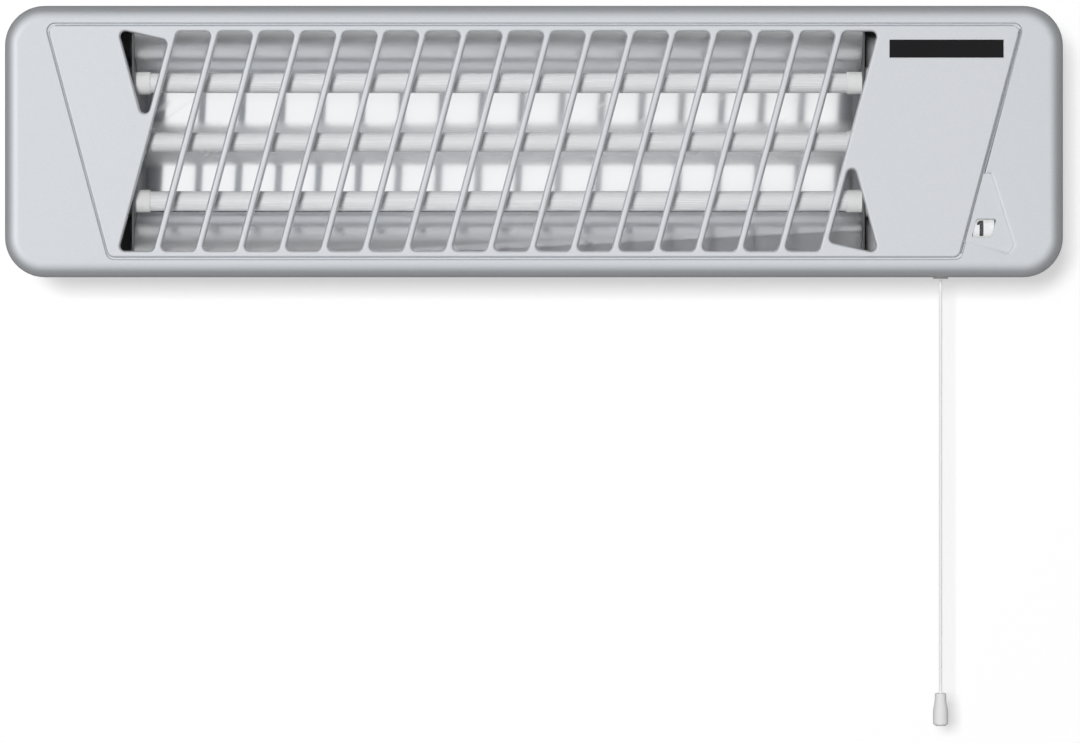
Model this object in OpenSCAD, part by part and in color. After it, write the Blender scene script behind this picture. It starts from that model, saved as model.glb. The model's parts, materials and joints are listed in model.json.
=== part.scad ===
// Wall-mounted quartz heater with three tubes, a slanted slotted grille, a pull-cord switch and a tilting bracket.
// The wall is the plane y = 0, the front faces -Y, and +X is to the viewer's right.
// The origin is the middle of the wall bracket's back face.

/* [Housing] */
// Room at the left of the tubes, for the terminal block
left_bay = 67.2; // [64:0.5:80]
// Room at the right of the tubes, for the pull switch and the indicator
right_bay = 102.8; // [102:0.5:120]
// Height of the housing
body_h = 136; // [128:1:160]
// Depth of the housing, front face to back face
body_d = 55; // [50:1:70]
// Radius of the four corners, seen from the front
corner_r = 20; // [14:1:21]
// Radius of the edge between the front and the sides
edge_r = 8; // [6:0.5:8.5]
// Thickness of the housing's wall
wall_t = 1.6; // [1.4:0.1:2.4]
// Thickness of the rear cover's sheet
cover_t = 1.2; // [0.8:0.1:2]

/* [Front grille] */
// Face of the housing left bare at each end of the grille plate's top edge
end_margin = 21.2; // [20:0.5:26]
// Face of the housing left bare above and below the grille plate
rail_margin = 9.8; // [9:0.1:12]
// Thickness of the grille plate
plate_t = 1.8; // [1.2:0.1:2.2]
// Lean of the plate's ends and of its slots, in degrees from upright
slant = 15; // [13:0.5:15]
// Radius of the grille plate's corners
plate_corner_r = 4; // [2:0.5:6]
// Gap round the grille plate
seam_gap = 0.8; // [0.4:0.1:1]
// Depth of the ledge that the grille plate rests on
ledge_t = 2; // [1.5:0.1:3]
// Width of a slot, measured level
slot_w = 17.1; // [10:0.1:18]
// Width of the bar between two slots, measured level
bar_w = 3.7; // [3:0.1:8]
// Height of the plate left above and below the slots
slot_margin = 3.5; // [3.5:0.5:10]
// Radius of the slots' corners
slot_r = 2.4; // [1:0.1:4]
// Width of the end cut-out, measured level at its upper corner
cutout_w = 26; // [20:0.5:28]
// Plate left above the end cut-out
cutout_margin = 2.5; // [2.5:0.5:8]
// Fall of the end cut-out's upper edge, in degrees
cutout_fall = 12.7; // [8:0.1:16]
// Width and height of the blank name plate
badge_w = 57; // [40:1:60]
badge_h = 9; // [6:0.5:10]
// Thickness of the name plate
badge_t = 0.6; // [0.4:0.1:1]

/* [Tubes and reflector] */
// Outside diameter of a quartz tube
tube_d = 10; // [8:0.5:12]
// Wall of a quartz tube
tube_wall = 1; // [0.8:0.1:1.5]
// Length of a quartz tube
tube_len = 360; // [300:1:480]
// Wall of a ceramic end cap round its tube
cap_wall = 0.6; // [0.6:0.1:2]
// Length of a ceramic end cap
cap_len = 14; // [12:0.5:16]
// Room between the outer tubes' middles and the reflector's first bends
tube_margin = 13.9; // [12:0.1:18]
// Room between the reflector's deepest strip and the back of the housing
trough_gap = 13; // [12.5:0.5:16]
// Thickness of the reflector's sheet, measured along the depth
sheet_t = 1; // [0.6:0.1:1.4]

/* [Indicator] */
// Middle of the indicator window from the right-hand end of the housing
window_inset = 40; // [39:0.1:41]
// Height of the window's middle above the foot of the housing
window_rise = 24.5; // [24:0.5:27]
// Width and height of the window
window_w = 10; // [8:0.5:11]
window_h = 9.5; // [8:0.5:10]
// Depth of the recess round the window
recess_depth = 2.6; // [1.5:0.1:3]
// Radius and width of the numbered drum
drum_r = 8; // [6.5:0.5:8.5]
drum_w = 11; // [9:0.5:11]

/* [Pull switch] */
// Place of the cord from the right-hand end of the housing
cord_inset = 59.4; // [59:0.1:60]
// Diameter of the cord
cord_d = 1.6; // [1.2:0.1:2]
// Free length of the cord below the housing
cord_len = 209; // [100:1:400]
// Length of the switch lever
lever_arm = 20; // [17:0.5:21]
// Swing of the switch lever, in degrees
lever_swing = 35; // [25:1:36]
// Height and largest diameter of the knob
knob_h = 16.5; // [12:0.5:24]
knob_d = 7.6; // [6:0.2:12]
// Diameter of the knob's neck
neck_d = 5; // [4:0.2:6]

/* [Wall bracket] */
// Width of the bracket over its ears
bracket_w = 330; // [240:5:400]
// Height of the bracket's plate
bracket_h = 36; // [30:1:44]
// Thickness of the bracket's sheet
bracket_t = 2; // [1.5:0.1:2.5]
// Distance of the tilt axis from the wall
pivot_out = 28; // [28:1:36]
// Distance from the tilt axis to the back of the housing
pivot_gap = 12; // [12:0.5:16]
// Spacing of the two wall screw holes
hole_spacing = 200; // [120:5:220]
// Diameter of a wall screw hole
hole_d = 5.5; // [4:0.5:7]
// Diameter of a pivot bolt
bolt_d = 6; // [5:0.5:8]

/* [Hidden] */

// Overrun of cuts past the faces that they open
over = 1;
// Clearance between pieces of one body, and of a shaft in its bore
fit = 0.1;
run_fit = 0.05;
// Steps of an arc in an outline, fineness of true circles, and degrees that keep a turn positive
turn_offset = 540;
arc_steps = 6;
round_fn = 64;

// The housing's width and front face, and the middle of the slots and tubes
body_w = left_bay + tube_len + right_bay;
front_y = -(pivot_out + pivot_gap + body_d);
field_x = (left_bay - right_bay) / 2;
lean = tan(slant);
shell_d = body_d - cover_t;
pocket_back = plate_t + ledge_t;

// Grille plate and its slots
plate_top_w = body_w - 2 * end_margin;
plate_h = body_h - 2 * rail_margin;
slot_pitch = slot_w + bar_w;
slot_count = floor(tube_len / slot_pitch);
slot_h = plate_h - 2 * slot_margin;
cutout_top = plate_h / 2 - cutout_margin;
badge_drop = 12;
badge_gap = 6;

// Shares of the plate's gap that stand open at its left end, right end and foot
seam_left = 0.7;
seam_right = 1.3;
seam_foot = 1.25;

// Ledge round the pocket, and the opening that the tubes shine through
ledge_grow = 3;
opening_end = 13.7;
opening_rim = 2;
opening_half_w = tube_len / 2 + opening_end;
opening_half_h = plate_h / 2 - opening_rim;
opening_r = 3;
mouth_rim = 1.5;
mouth_half = plate_h / 2 - mouth_rim;

// Corner bosses for the cover screws
boss_inset = 14;
boss_r = 4;
screw_r = 1.5;
screw_len = 14;
screw_head_r = 3;
screw_head_t = 2;

// Studs behind the grille plate, as side, share of half the plate's height, and share of the way out
stud_r = 1.5;
stud_len = 7;
stud_shares = [[-1, 0.8, 0.5], [-1, 0.07, 0.5], [-1, -0.44, 0.5], [1, 0.85, 0.6], [1, 0.03, 0.6], [1, -0.88, 0.17]];
clip_r = 3.4;
clip_t = 0.6;

// Reflector: flange, bends down each side, and the dished back
flange_w = 5.5;
trough_depth = body_d - trough_gap;
bend_y_shares = [1, 0.768, 0.605];
bend_y = mouth_half * bend_y_shares;
bend_depth_shares = [0.31, 0.857];
bend_depth = [pocket_back + sheet_t, each trough_depth * bend_depth_shares];
tube_depth_share = 0.452;
tube_depth = trough_depth * tube_depth_share;
tube_pitch = bend_y[1] - tube_margin;
dish_strips = 11;
end_room = 2.5;
field_half = tube_len / 2 + end_room;
end_t = 1;
reflector_screw_r = 1.1;
reflector_screw_shares = [-0.82, 0, 0.82];
reflector_screw_inset = 2.6;
reflector_screw_bite = 1.6;

// Ceramic caps, connecting pins and coils
cap_d = tube_d + 2 * (cap_wall + fit);
cap_insert = 5;
cap_flange_r = 8;
cap_flange_t = 2.5;
pin_r = 1;
pin_inside = 3;
pin_outside = 4;
tab_len = 10;
tab_w = 6.3;
tab_t = 0.8;
coil_r = 3;
coil_wall = 0.8;

// Thermal cut-out on the back of the reflector
cutout_disc_r = 8;
cutout_disc_t = 7;
cutout_disc_share = 0.66;

// Recess round the indicator window, with the heights of its corners above the foot of the housing
window_x = body_w / 2 - window_inset;
window_drop = body_h / 2 - window_rise;
recess_rise_top = 52;
recess_rise = 12;
recess_rise_left = 17.7;
recess_gap = 0.4;
recess_top_w = 4.2;
recess_top = body_h / 2 - recess_rise_top;
recess_inset = 25;
recess_foot = body_h / 2 - recess_rise;
recess_left_foot = body_h / 2 - recess_rise_left;
recess_chamfer = 4;
recess_r = 1;
recess_floor_t = 1.2;
recess_back = recess_depth + recess_floor_t;
pad_outer_inset = 18;
pad_inner_inset = 49;
pad_rim = 4;
pad_top = recess_top - pad_rim;
pad_foot = recess_foot + pad_rim;
lens_lip = 1.5;
lens_lip_t = 0.6;
lens_set = 0.3;
window_r = 1;

// Drum, axle and their bearing
drum_gap = 0.3;
axle_r = 1.5;
axle_depth = recess_back + lens_lip_t + drum_gap + drum_r;
cord_x = body_w / 2 - cord_inset;
axle_lead = 15;
axle_start = cord_x - axle_lead;
drum_start = window_x - drum_w / 2;
bearing_gap = 4.5;
bearing_t = 2;
bearing_h = 13;
bearing_foot = 6;
bearing_x = drum_start + drum_w + bearing_gap;
axle_end = bearing_x + bearing_t + over;

// Switch, from left to right: body, lever, ratchet wheel and side plate
lever_t = 4;
side_gap = 1;
switch_body_w = 10.5;
switch_above = 18.5;
switch_below = 13.5;
switch_top = window_drop - switch_above;
switch_foot = window_drop + switch_below;
switch_back = 28;
wheel_t = 3;
wheel_gap = 0.5;
plate_gap = 2;
side_plate_t = 2.5;
lever_left = cord_x - lever_t / 2;
wheel_left = lever_left + lever_t + wheel_gap;
side_plate_left = wheel_left + wheel_t + plate_gap;
body_right = lever_left - side_gap;
body_left = body_right - switch_body_w;
hub_r = 5;
arm_h = 6;
eye_len = 7;
eye_w = 6;
eye_r = 2.4;
teeth = 8;
tooth_tip_r = 6.5;
tooth_root_r = 5;
pawl_r = 3;
pawl_pin_r = 1.2;
pawl_reach = 11;
beak_turn = 25;
tie_r = 1.5;
tie_places = [[-10.5, -8], [14, -10]];

// Cord: middle of its travel lies straight under the lever's eye
cord_depth = axle_depth + lever_arm * (1 + cos(lever_swing / 2)) / 2;
eye_rise = lever_arm * sin(lever_swing / 2);
knot_r = 2.7;
knot_lift = 6.4;
bush_neck_r = 3;
bush_bore_r = 1.15;
bush_flange_r = 4.6;
bush_flange_t = 1.2;
bush_lip_r = 3.8;
bush_lip_t = 0.8;
swing_gap = 0.5;
cord_sides = 8;
cord_step = 4.5;
cord_exit_z = -(body_h / 2 + bush_lip_t + swing_gap);
knob_steps = 20;
knob_round_share = 0.16;
knob_flare_shares = [0.22, 0.62];

// Wall bracket, bolts, nuts and washers
ear_r = 9;
ear_foot = 4;
slot_hole_w = 24;
hinge_z = 0;
washer_t = 1;
washer_r = 8;
bolt_head_r = 6;
bolt_head_t = 4;
nut_r = 5.8;
nut_t = 5;
bolt_tail = 2;
lug_t = 2;
lug_r = 9;
lug_foot_w = 30;
lug_foot_h = 36;
rivet_r = 2;
rivet_head_r = 3.6;
rivet_head_t = 1.2;
rivet_drop = 12;
rivet_in = 14;
ear_left = bracket_w / 2 - bracket_t;
lug_left = ear_left - washer_t - lug_t;

// Vents and cable parts of the rear cover
cover_fit = 0.3;
cover_flange_d = 12;
vent_count = 9;
vent_w = 4;
vent_h = 22;
vent_pitch = 9;
vent_x_shares = [-0.41, 0.28];
vent_inset = 26;
vent_x = body_w / 2 * vent_x_shares;
vent_y = body_h / 2 - vent_inset;
bay_x = left_bay / 3 - body_w / 2;
grommet_y = -38;
grommet_bore_r = 3.5;
grommet_neck_r = 5.5;
grommet_flange_r = 8;
grommet_flange_t = 1.5;
block_size = [16, 44, 15];
block_y = 8;
block_wells = 3;
well_r = 2.6;
well_depth = 6;
well_screw_t = 3;
clamp_size = [26, 8, 5];
clamp_y = -22;
clamp_channel_r = 3.4;
clamp_screw_x = 9;
earth_gap = 21;
earth_x = bay_x + earth_gap;
earth_y = -20;
earth_r = 2;
earth_head_r = 4;
earth_len = 8;

// Places of the studs from the middle of the housing
stud_places = [for (p = stud_shares) let (y = p[1] * plate_h / 2, inner = field_x + p[0] * opening_half_w)
  [inner + p[2] * (p[0] * plate_edge(y, 0) - inner), y]];

// A vector's direction
function unit(v) = v / norm(v);

// The arc that rounds corner b between its neighbours a and c
function corner_arc(a, b, c, r) =
  let (u = unit(a - b), w = unit(c - b), half = acos(u * w) / 2,
    centre = b + unit(u + w) * r / sin(half),
    start = b + u * r / tan(half) - centre,
    stop = b + w * r / tan(half) - centre,
    from = atan2(start.y, start.x),
    turn = (atan2(stop.y, stop.x) - from + turn_offset) % 360 - 180)
  [for (i = [0 : arc_steps]) centre + r * [cos(from + turn * i / arc_steps), sin(from + turn * i / arc_steps)]];

// An outline with every corner rounded
function rounded(points, r) =
  let (n = len(points))
  [for (i = [0 : n - 1]) each corner_arc(points[(i + n - 1) % n], points[i], points[(i + 1) % n], r)];

// Half width of the grille plate at a height, grown by a margin all round
function plate_edge(y, grow) = plate_top_w / 2 - (plate_h / 2 - y) * lean + grow / cos(slant);
function plate_points(grow) =
  let (t = plate_h / 2 + grow)
  [[-plate_edge(t, grow), t], [plate_edge(t, grow), t], [plate_edge(-t, grow), -t], [-plate_edge(-t, grow), -t]];

// Outline of the pocket that the plate lies in, with its own gap at each end and along the foot
function pocket_points() =
  let (top = plate_h / 2 + seam_gap,
    foot = plate_h / 2 + seam_foot * seam_gap,
    left = seam_left * seam_gap,
    right = seam_right * seam_gap)
  [[-plate_edge(top, left), top], [plate_edge(top, right), top],
    [plate_edge(-foot, right), -foot], [-plate_edge(-foot, left), -foot]];

// A leaning four-sided outline round a middle
function leaning(x, y, w, h) =
  [for (c = [[-1, 1], [1, 1], [1, -1], [-1, -1]]) [x + c.x * w / 2 + c.y * h / 2 * lean, y + c.y * h / 2]];

// The end cut-out: one side follows the plate's left end, the other the slots
function cutout_points() =
  let (slots_left = field_x - slot_count / 2 * slot_pitch - bar_w / 2,
    fall = tan(cutout_fall),
    left_x = slots_left + cutout_top * lean - cutout_w,
    apex_y = cutout_top - cutout_w / (2 * lean),
    right_y = (cutout_top - (slots_left - left_x) * fall) / (1 + lean * fall))
  [[left_x, cutout_top], [slots_left + right_y * lean, right_y], [slots_left + apex_y * lean, apex_y]];

// The same outline turned half round about the middle of the slots
function turned(points) = [for (p = points) [2 * field_x - p.x, -p.y]];

// The recess beside the grille's right end
recess_points = let (side = body_w / 2 - recess_inset, top_left = plate_edge(-recess_top, recess_gap))
  [[top_left, -recess_top],
    [top_left + recess_top_w, -recess_top],
    [side, recess_chamfer - recess_foot],
    [side - recess_chamfer * cos(slant) * cos(slant) / 2 - recess_chamfer * lean, -recess_foot],
    [plate_edge(-recess_left_foot, recess_gap), -recess_left_foot]];

// Height of the reflector's dished back at a height, and its strip edges
function dish_depth(y) = bend_depth[2] + (trough_depth - bend_depth[2]) * (1 - pow(y / bend_y[2], 2));
dish_y = [for (i = [0 : dish_strips]) bend_y[2] * (1 - 2 * i / dish_strips)];
dish_flat_depth = dish_depth(bend_y[2] / dish_strips);

// The trough's section as height and depth, from the upper mouth to the lower one
trough_section = concat(
  [for (i = [0 : 1]) [bend_y[i], bend_depth[i]]],
  [for (y = dish_y) [y, dish_depth(y)]],
  [for (i = [1 : -1 : 0]) [-bend_y[i], bend_depth[i]]]);

// Draws in the plane of the front face: x to the right, y up, z out towards the viewer
module face() {
  translate([0, front_y, 0]) rotate([90, 0, 0]) children();
}

// A flat piece of the front face from one depth to a deeper one
module slab(depth, thick) {
  translate([0, 0, -depth - thick]) linear_extrude(thick) children();
}

// A round bar or bore that runs back from a depth
module peg(x, y, depth, long, r) {
  translate([x, y, -depth - long]) cylinder(h = long, r = r, $fn = round_fn);
}

// A round bar or bore along the width, at a height and depth
module rod(x, y, depth, long, r) {
  translate([x, y, -depth]) rotate([0, 90, 0]) cylinder(h = long, r = r, $fn = round_fn);
}

// A ring along the width
module sleeve(x, y, depth, long, r, bore) {
  difference() {
    rod(x, y, depth, long, r);
    rod(x - over, y, depth, long + 2 * over, bore);
  }
}

// A plate of the height-depth plane, from x and so thick, outlined by points of height and depth
module side_plate(x, thick, points) {
  translate([x, 0, 0]) rotate([90, 0, 90]) linear_extrude(thick) polygon([for (p = points) [p[0], -p[1]]]);
}

// Sweeps a section, drawn as distance from the corner's middle and height, round a rounded rectangle
module rim_sweep(w, h, r) {
  for (side = [0, 1]) mirror([side, 0, 0]) {
    translate([w / 2 - r, h / 2 - r, 0]) rotate([90, 0, 0]) linear_extrude(h - 2 * r) children();
    for (end = [0, 1]) mirror([0, end, 0])
      translate([w / 2 - r, h / 2 - r, 0]) rotate_extrude(angle = 90, $fn = round_fn) children();
  }
  for (end = [0, 1]) mirror([0, end, 0])
    translate([r - w / 2, h / 2 - r, 0]) rotate([90, 0, 90]) linear_extrude(w - 2 * r) children();
}

// The housing's section: front, rounded edge and side wall
module shell_section() {
  flat = corner_r - edge_r;
  translate([0, -wall_t]) square([flat, wall_t]);
  translate([flat, -edge_r]) intersection() {
    difference() {
      circle(r = edge_r, $fn = round_fn);
      circle(r = edge_r - wall_t, $fn = round_fn);
    }
    square(edge_r);
  }
  translate([corner_r - wall_t, -shell_d]) square([wall_t, shell_d - edge_r]);
}

// Places at the four cover screws
module at_bosses() {
  for (sx = [-1, 1], sy = [-1, 1])
    translate([sx * (body_w / 2 - boss_inset), sy * (body_h / 2 - boss_inset), 0]) children();
}

// Places at the screws through the reflector's flanges
module at_reflector_screws() {
  for (x = reflector_screw_shares, sy = [-1, 1])
    translate([field_x + x * field_half, sy * (mouth_half + reflector_screw_inset), 0]) children();
}

module front_housing() {
  color([0.84, 0.85, 0.87]) face() difference() {
    union() {
      rim_sweep(body_w, body_h, corner_r) shell_section();
      slab(0, wall_t) square([body_w - 2 * corner_r, body_h - 2 * corner_r], center = true);
      slab(plate_t / 2, pocket_back - plate_t / 2) polygon(rounded(plate_points(ledge_grow), plate_corner_r));
      at_bosses() slab(wall_t / 2, shell_d - wall_t / 2) circle(r = boss_r, $fn = round_fn);
      slab(plate_t / 2, recess_back - plate_t / 2)
        translate([body_w / 2 - pad_inner_inset, -pad_foot])
          square([pad_inner_inset - pad_outer_inset, pad_foot - pad_top]);
    }
    translate([0, 0, over]) slab(0, plate_t + over) polygon(rounded(pocket_points(), plate_corner_r));
    slab(0, body_d) polygon(rounded(
      [for (c = [[-1, 1], [1, 1], [1, -1], [-1, -1]]) [field_x + c.x * opening_half_w, c.y * opening_half_h]],
      opening_r));
    translate([0, 0, over]) slab(0, recess_depth + over) polygon(rounded(recess_points, recess_r));
    slab(0, body_d) polygon(rounded(leaning(window_x, -window_drop, window_w, window_h), window_r));
    for (p = stud_places) peg(p.x, p.y, 0, pocket_back + over, stud_r + fit);
    at_bosses() peg(0, 0, shell_d - screw_len, screw_len + over, screw_r);
    at_reflector_screws() peg(0, 0, pocket_back - reflector_screw_bite, reflector_screw_bite + over, reflector_screw_r);
    translate([cord_x, -body_h / 2 + wall_t + over, -cord_depth]) rotate([90, 0, 0])
      cylinder(h = wall_t + 2 * over, r = bush_neck_r + run_fit, $fn = round_fn);
  }
}

module front_grille() {
  color([0.86, 0.87, 0.89]) face() {
    slab(0, plate_t) difference() {
      polygon(rounded(plate_points(0), plate_corner_r));
      for (i = [0 : slot_count - 1])
        polygon(rounded(leaning(field_x + (i - (slot_count - 1) / 2) * slot_pitch, 0, slot_w, slot_h), slot_r));
      polygon(rounded(cutout_points(), slot_r));
      polygon(rounded(turned(cutout_points()), slot_r));
    }
    for (p = stud_places) peg(p.x, p.y, plate_t, stud_len, stud_r);
  }
}

module grille_clips() {
  color([0.55, 0.56, 0.58]) face() for (p = stud_places) difference() {
    peg(p.x, p.y, pocket_back, clip_t, clip_r);
    peg(p.x, p.y, pocket_back - over, clip_t + 2 * over, stud_r + run_fit);
  }
}

module name_plate() {
  y = plate_h / 2 - badge_drop;
  color([0.06, 0.06, 0.07]) face()
    translate([plate_edge(y, 0) - badge_gap - badge_w, y - badge_h / 2, 0]) cube([badge_w, badge_h, badge_t]);
}

module reflector() {
  color([0.92, 0.93, 0.94]) face() difference() {
    union() {
      side_plate(field_x - field_half, 2 * field_half, concat(trough_section,
        [for (i = [len(trough_section) - 1 : -1 : 0]) trough_section[i] + [0, sheet_t]]));
      for (sy = [-1, 1]) side_plate(field_x - field_half, 2 * field_half,
        [for (c = [[0, 0], [1, 0], [1, 1], [0, 1]])
          [sy * (mouth_half + c[0] * flange_w), pocket_back + c[1] * sheet_t]]);
    }
    at_reflector_screws() peg(0, 0, pocket_back - over, sheet_t + 2 * over, reflector_screw_r + fit);
  }
}

module reflector_end(side) {
  color([0.5, 0.51, 0.53]) face() difference() {
    side_plate(side > 0 ? field_x + field_half : field_x - field_half - end_t, end_t,
      [for (p = trough_section) p + [0, sheet_t]]);
    for (row = [-1 : 1])
      rod(field_x + side * field_half - 2 * end_t, row * tube_pitch, tube_depth, 4 * end_t, cap_d / 2 + fit);
  }
}

module reflector_end_left() {
  reflector_end(-1);
}

module reflector_end_right() {
  reflector_end(1);
}

module reflector_screws() {
  color([0.7, 0.71, 0.73]) face() at_reflector_screws() {
    peg(0, 0, pocket_back - reflector_screw_bite, reflector_screw_bite + sheet_t, reflector_screw_r - run_fit);
    peg(0, 0, pocket_back + sheet_t, sheet_t, 2 * reflector_screw_r);
  }
}

module thermal_cutout() {
  color([0.25, 0.22, 0.2]) face() {
    peg(field_x + cutout_disc_share * field_half, 0, dish_flat_depth + sheet_t, cutout_disc_t, cutout_disc_r);
    for (side = [-1, 1])
      translate([field_x + cutout_disc_share * field_half + side * cutout_disc_r / 2 - tab_t / 2, -tab_w / 2,
        -dish_flat_depth - sheet_t - cutout_disc_t - tab_t]) cube([tab_t, tab_w, tab_t]);
  }
}

module quartz_tube(row) {
  color([0.9, 0.9, 0.89, 0.7]) face()
    sleeve(field_x - tube_len / 2, row * tube_pitch, tube_depth, tube_len, tube_d / 2, tube_d / 2 - tube_wall);
}

module quartz_tube_top() {
  quartz_tube(1);
}

module quartz_tube_middle() {
  quartz_tube(0);
}

module quartz_tube_bottom() {
  quartz_tube(-1);
}

module heating_coil(row) {
  long = tube_len - 2 * cap_insert - 2 * pin_inside;
  color([0.6, 0.58, 0.56]) face()
    sleeve(field_x - long / 2, row * tube_pitch, tube_depth, long, coil_r, pin_r / 2);
}

module heating_coil_top() {
  heating_coil(1);
}

module heating_coil_middle() {
  heating_coil(0);
}

module heating_coil_bottom() {
  heating_coil(-1);
}

// Three ceramic caps at one end, each with a socket for its tube and a bore for its pin
module ceramic_caps(side) {
  mouth = tube_len / 2 - cap_insert;
  color([0.95, 0.94, 0.9]) face() translate([field_x, 0, 0]) mirror([side > 0 ? 0 : 1, 0, 0])
    for (row = [-1 : 1]) difference() {
      union() {
        rod(mouth, row * tube_pitch, tube_depth, cap_len, cap_d / 2);
        rod(field_half + end_t, row * tube_pitch, tube_depth, cap_flange_t, cap_flange_r);
      }
      rod(mouth - over, row * tube_pitch, tube_depth, cap_insert + over, tube_d / 2 + fit);
      rod(mouth, row * tube_pitch, tube_depth, cap_len + over, pin_r + run_fit);
    }
}

module ceramic_caps_left() {
  ceramic_caps(-1);
}

module ceramic_caps_right() {
  ceramic_caps(1);
}

module tube_terminals() {
  inner = tube_len / 2 - cap_insert - pin_inside;
  outer = tube_len / 2 - cap_insert + cap_len + pin_outside;
  color([0.78, 0.72, 0.5]) face() translate([field_x, 0, 0])
    for (side = [0, 1], row = [-1 : 1]) mirror([side, 0, 0]) {
      rod(inner, row * tube_pitch, tube_depth, outer - inner, pin_r);
      translate([outer, row * tube_pitch - tab_w / 2, -tube_depth - tab_t / 2]) cube([tab_len, tab_w, tab_t]);
    }
}

module rear_cover() {
  edge = corner_r - wall_t - cover_fit;
  color([0.8, 0.81, 0.82]) face() difference() {
    union() {
      rim_sweep(body_w, body_h, corner_r) {
        translate([0, -body_d]) square([corner_r, cover_t]);
      }
      rim_sweep(body_w, body_h, corner_r) {
        translate([edge - cover_t, -shell_d]) square([cover_t, cover_flange_d]);
      }
      slab(shell_d, cover_t) square([body_w - 2 * corner_r, body_h - 2 * corner_r], center = true);
    }
    for (x = vent_x, i = [0 : vent_count - 1], sy = [-1, 1])
      slab(shell_d - over, cover_t + 2 * over) polygon(rounded(
        [for (c = [[-1, 1], [1, 1], [1, -1], [-1, -1]])
          [x + (i - (vent_count - 1) / 2) * vent_pitch + c.x * vent_w / 2, sy * vent_y + c.y * vent_h / 2]],
        vent_w / 2 - fit));
    at_bosses() peg(0, 0, shell_d - over, cover_t + 2 * over, screw_r + fit);
    peg(bay_x, grommet_y, shell_d - over, cover_t + 2 * over, grommet_neck_r + fit);
    for (sx = [-1, 1], sy = [-1, 1])
      peg(sx * (lug_left + lug_t - rivet_in), sy * rivet_drop, shell_d - over, cover_t + 2 * over, rivet_r + fit);
    peg(earth_x, earth_y, shell_d - over, cover_t + 2 * over, earth_r + fit);
  }
}

module cover_screws() {
  color([0.7, 0.71, 0.73]) face() at_bosses() {
    peg(0, 0, body_d - screw_len, screw_len, screw_r - run_fit);
    peg(0, 0, body_d, screw_head_t, screw_head_r);
  }
}

module cable_grommet() {
  color([0.1, 0.1, 0.1]) face() difference() {
    union() {
      peg(bay_x, grommet_y, shell_d - grommet_flange_t, body_d - shell_d + 2 * grommet_flange_t, grommet_neck_r);
      peg(bay_x, grommet_y, body_d, grommet_flange_t, grommet_flange_r);
      peg(bay_x, grommet_y, shell_d - grommet_flange_t, grommet_flange_t, grommet_flange_r - grommet_flange_t);
    }
    peg(bay_x, grommet_y, shell_d - grommet_flange_t - over, body_d, grommet_bore_r);
  }
}

// One tilt lug on the back: a foot on the cover and a rounded ear round the pivot bolt
module tilt_lug() {
  difference() {
    union() {
      translate([lug_left + lug_t - lug_foot_w, -lug_foot_h / 2, -body_d - lug_t])
        cube([lug_foot_w, lug_foot_h, lug_t]);
      side_plate(lug_left, lug_t, [[-lug_foot_h / 2, body_d], [lug_foot_h / 2, body_d],
        [lug_foot_h / 2, body_d + lug_t], [lug_r, body_d + pivot_gap], [-lug_r, body_d + pivot_gap],
        [-lug_foot_h / 2, body_d + lug_t]]);
      rod(lug_left, hinge_z, body_d + pivot_gap, lug_t, lug_r);
    }
    rod(lug_left - over, hinge_z, body_d + pivot_gap, lug_t + 2 * over, bolt_d / 2 + run_fit);
    for (sy = [-1, 1])
      peg(lug_left + lug_t - rivet_in, sy * rivet_drop, body_d - over, lug_t + 2 * over, rivet_r + fit);
  }
}

module tilt_lugs() {
  color([0.75, 0.76, 0.78]) face() for (side = [0, 1]) mirror([side, 0, 0]) tilt_lug();
}

module lug_rivets() {
  color([0.7, 0.71, 0.73]) face() for (sx = [-1, 1], sy = [-1, 1])
    translate([sx * (lug_left + lug_t - rivet_in), sy * rivet_drop, 0]) {
      peg(0, 0, shell_d, cover_t + lug_t, rivet_r);
      peg(0, 0, shell_d - rivet_head_t, rivet_head_t, rivet_head_r);
      peg(0, 0, body_d + lug_t, rivet_head_t, rivet_head_r);
    }
}

module terminal_block() {
  color([0.93, 0.92, 0.88]) face() difference() {
    translate([bay_x - block_size.x / 2, block_y - block_size.y / 2, -shell_d]) cube(block_size);
    for (i = [0 : block_wells - 1])
      peg(bay_x, block_y + (i - (block_wells - 1) / 2) * block_size.y / block_wells,
        shell_d - block_size.z - over, well_depth + over, well_r);
  }
}

module terminal_screws() {
  color([0.78, 0.72, 0.5]) face() for (i = [0 : block_wells - 1])
    peg(bay_x, block_y + (i - (block_wells - 1) / 2) * block_size.y / block_wells,
      shell_d - block_size.z + well_depth - well_screw_t, well_screw_t, well_r - fit);
}

module cable_clamp() {
  color([0.93, 0.92, 0.88]) face() difference() {
    translate([bay_x - clamp_size.x / 2, clamp_y - clamp_size.y / 2, -shell_d]) cube(clamp_size);
    translate([bay_x, clamp_y + clamp_size.y / 2 + over, -shell_d]) rotate([90, 0, 0])
      cylinder(h = clamp_size.y + 2 * over, r = clamp_channel_r, $fn = round_fn);
    for (side = [-1, 1])
      peg(bay_x + side * clamp_screw_x, clamp_y, shell_d - clamp_size.z - over, clamp_size.z + 2 * over, screw_r + fit);
  }
}

module clamp_screws() {
  color([0.7, 0.71, 0.73]) face() for (side = [-1, 1]) {
    peg(bay_x + side * clamp_screw_x, clamp_y, shell_d - clamp_size.z, clamp_size.z, screw_r);
    peg(bay_x + side * clamp_screw_x, clamp_y, shell_d - clamp_size.z - screw_head_t, screw_head_t, screw_head_r - fit);
  }
}

module earth_screw() {
  color([0.78, 0.72, 0.5]) face() {
    peg(earth_x, earth_y, body_d - earth_len, earth_len, earth_r);
    peg(earth_x, earth_y, body_d, earth_r, earth_head_r);
  }
}

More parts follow.
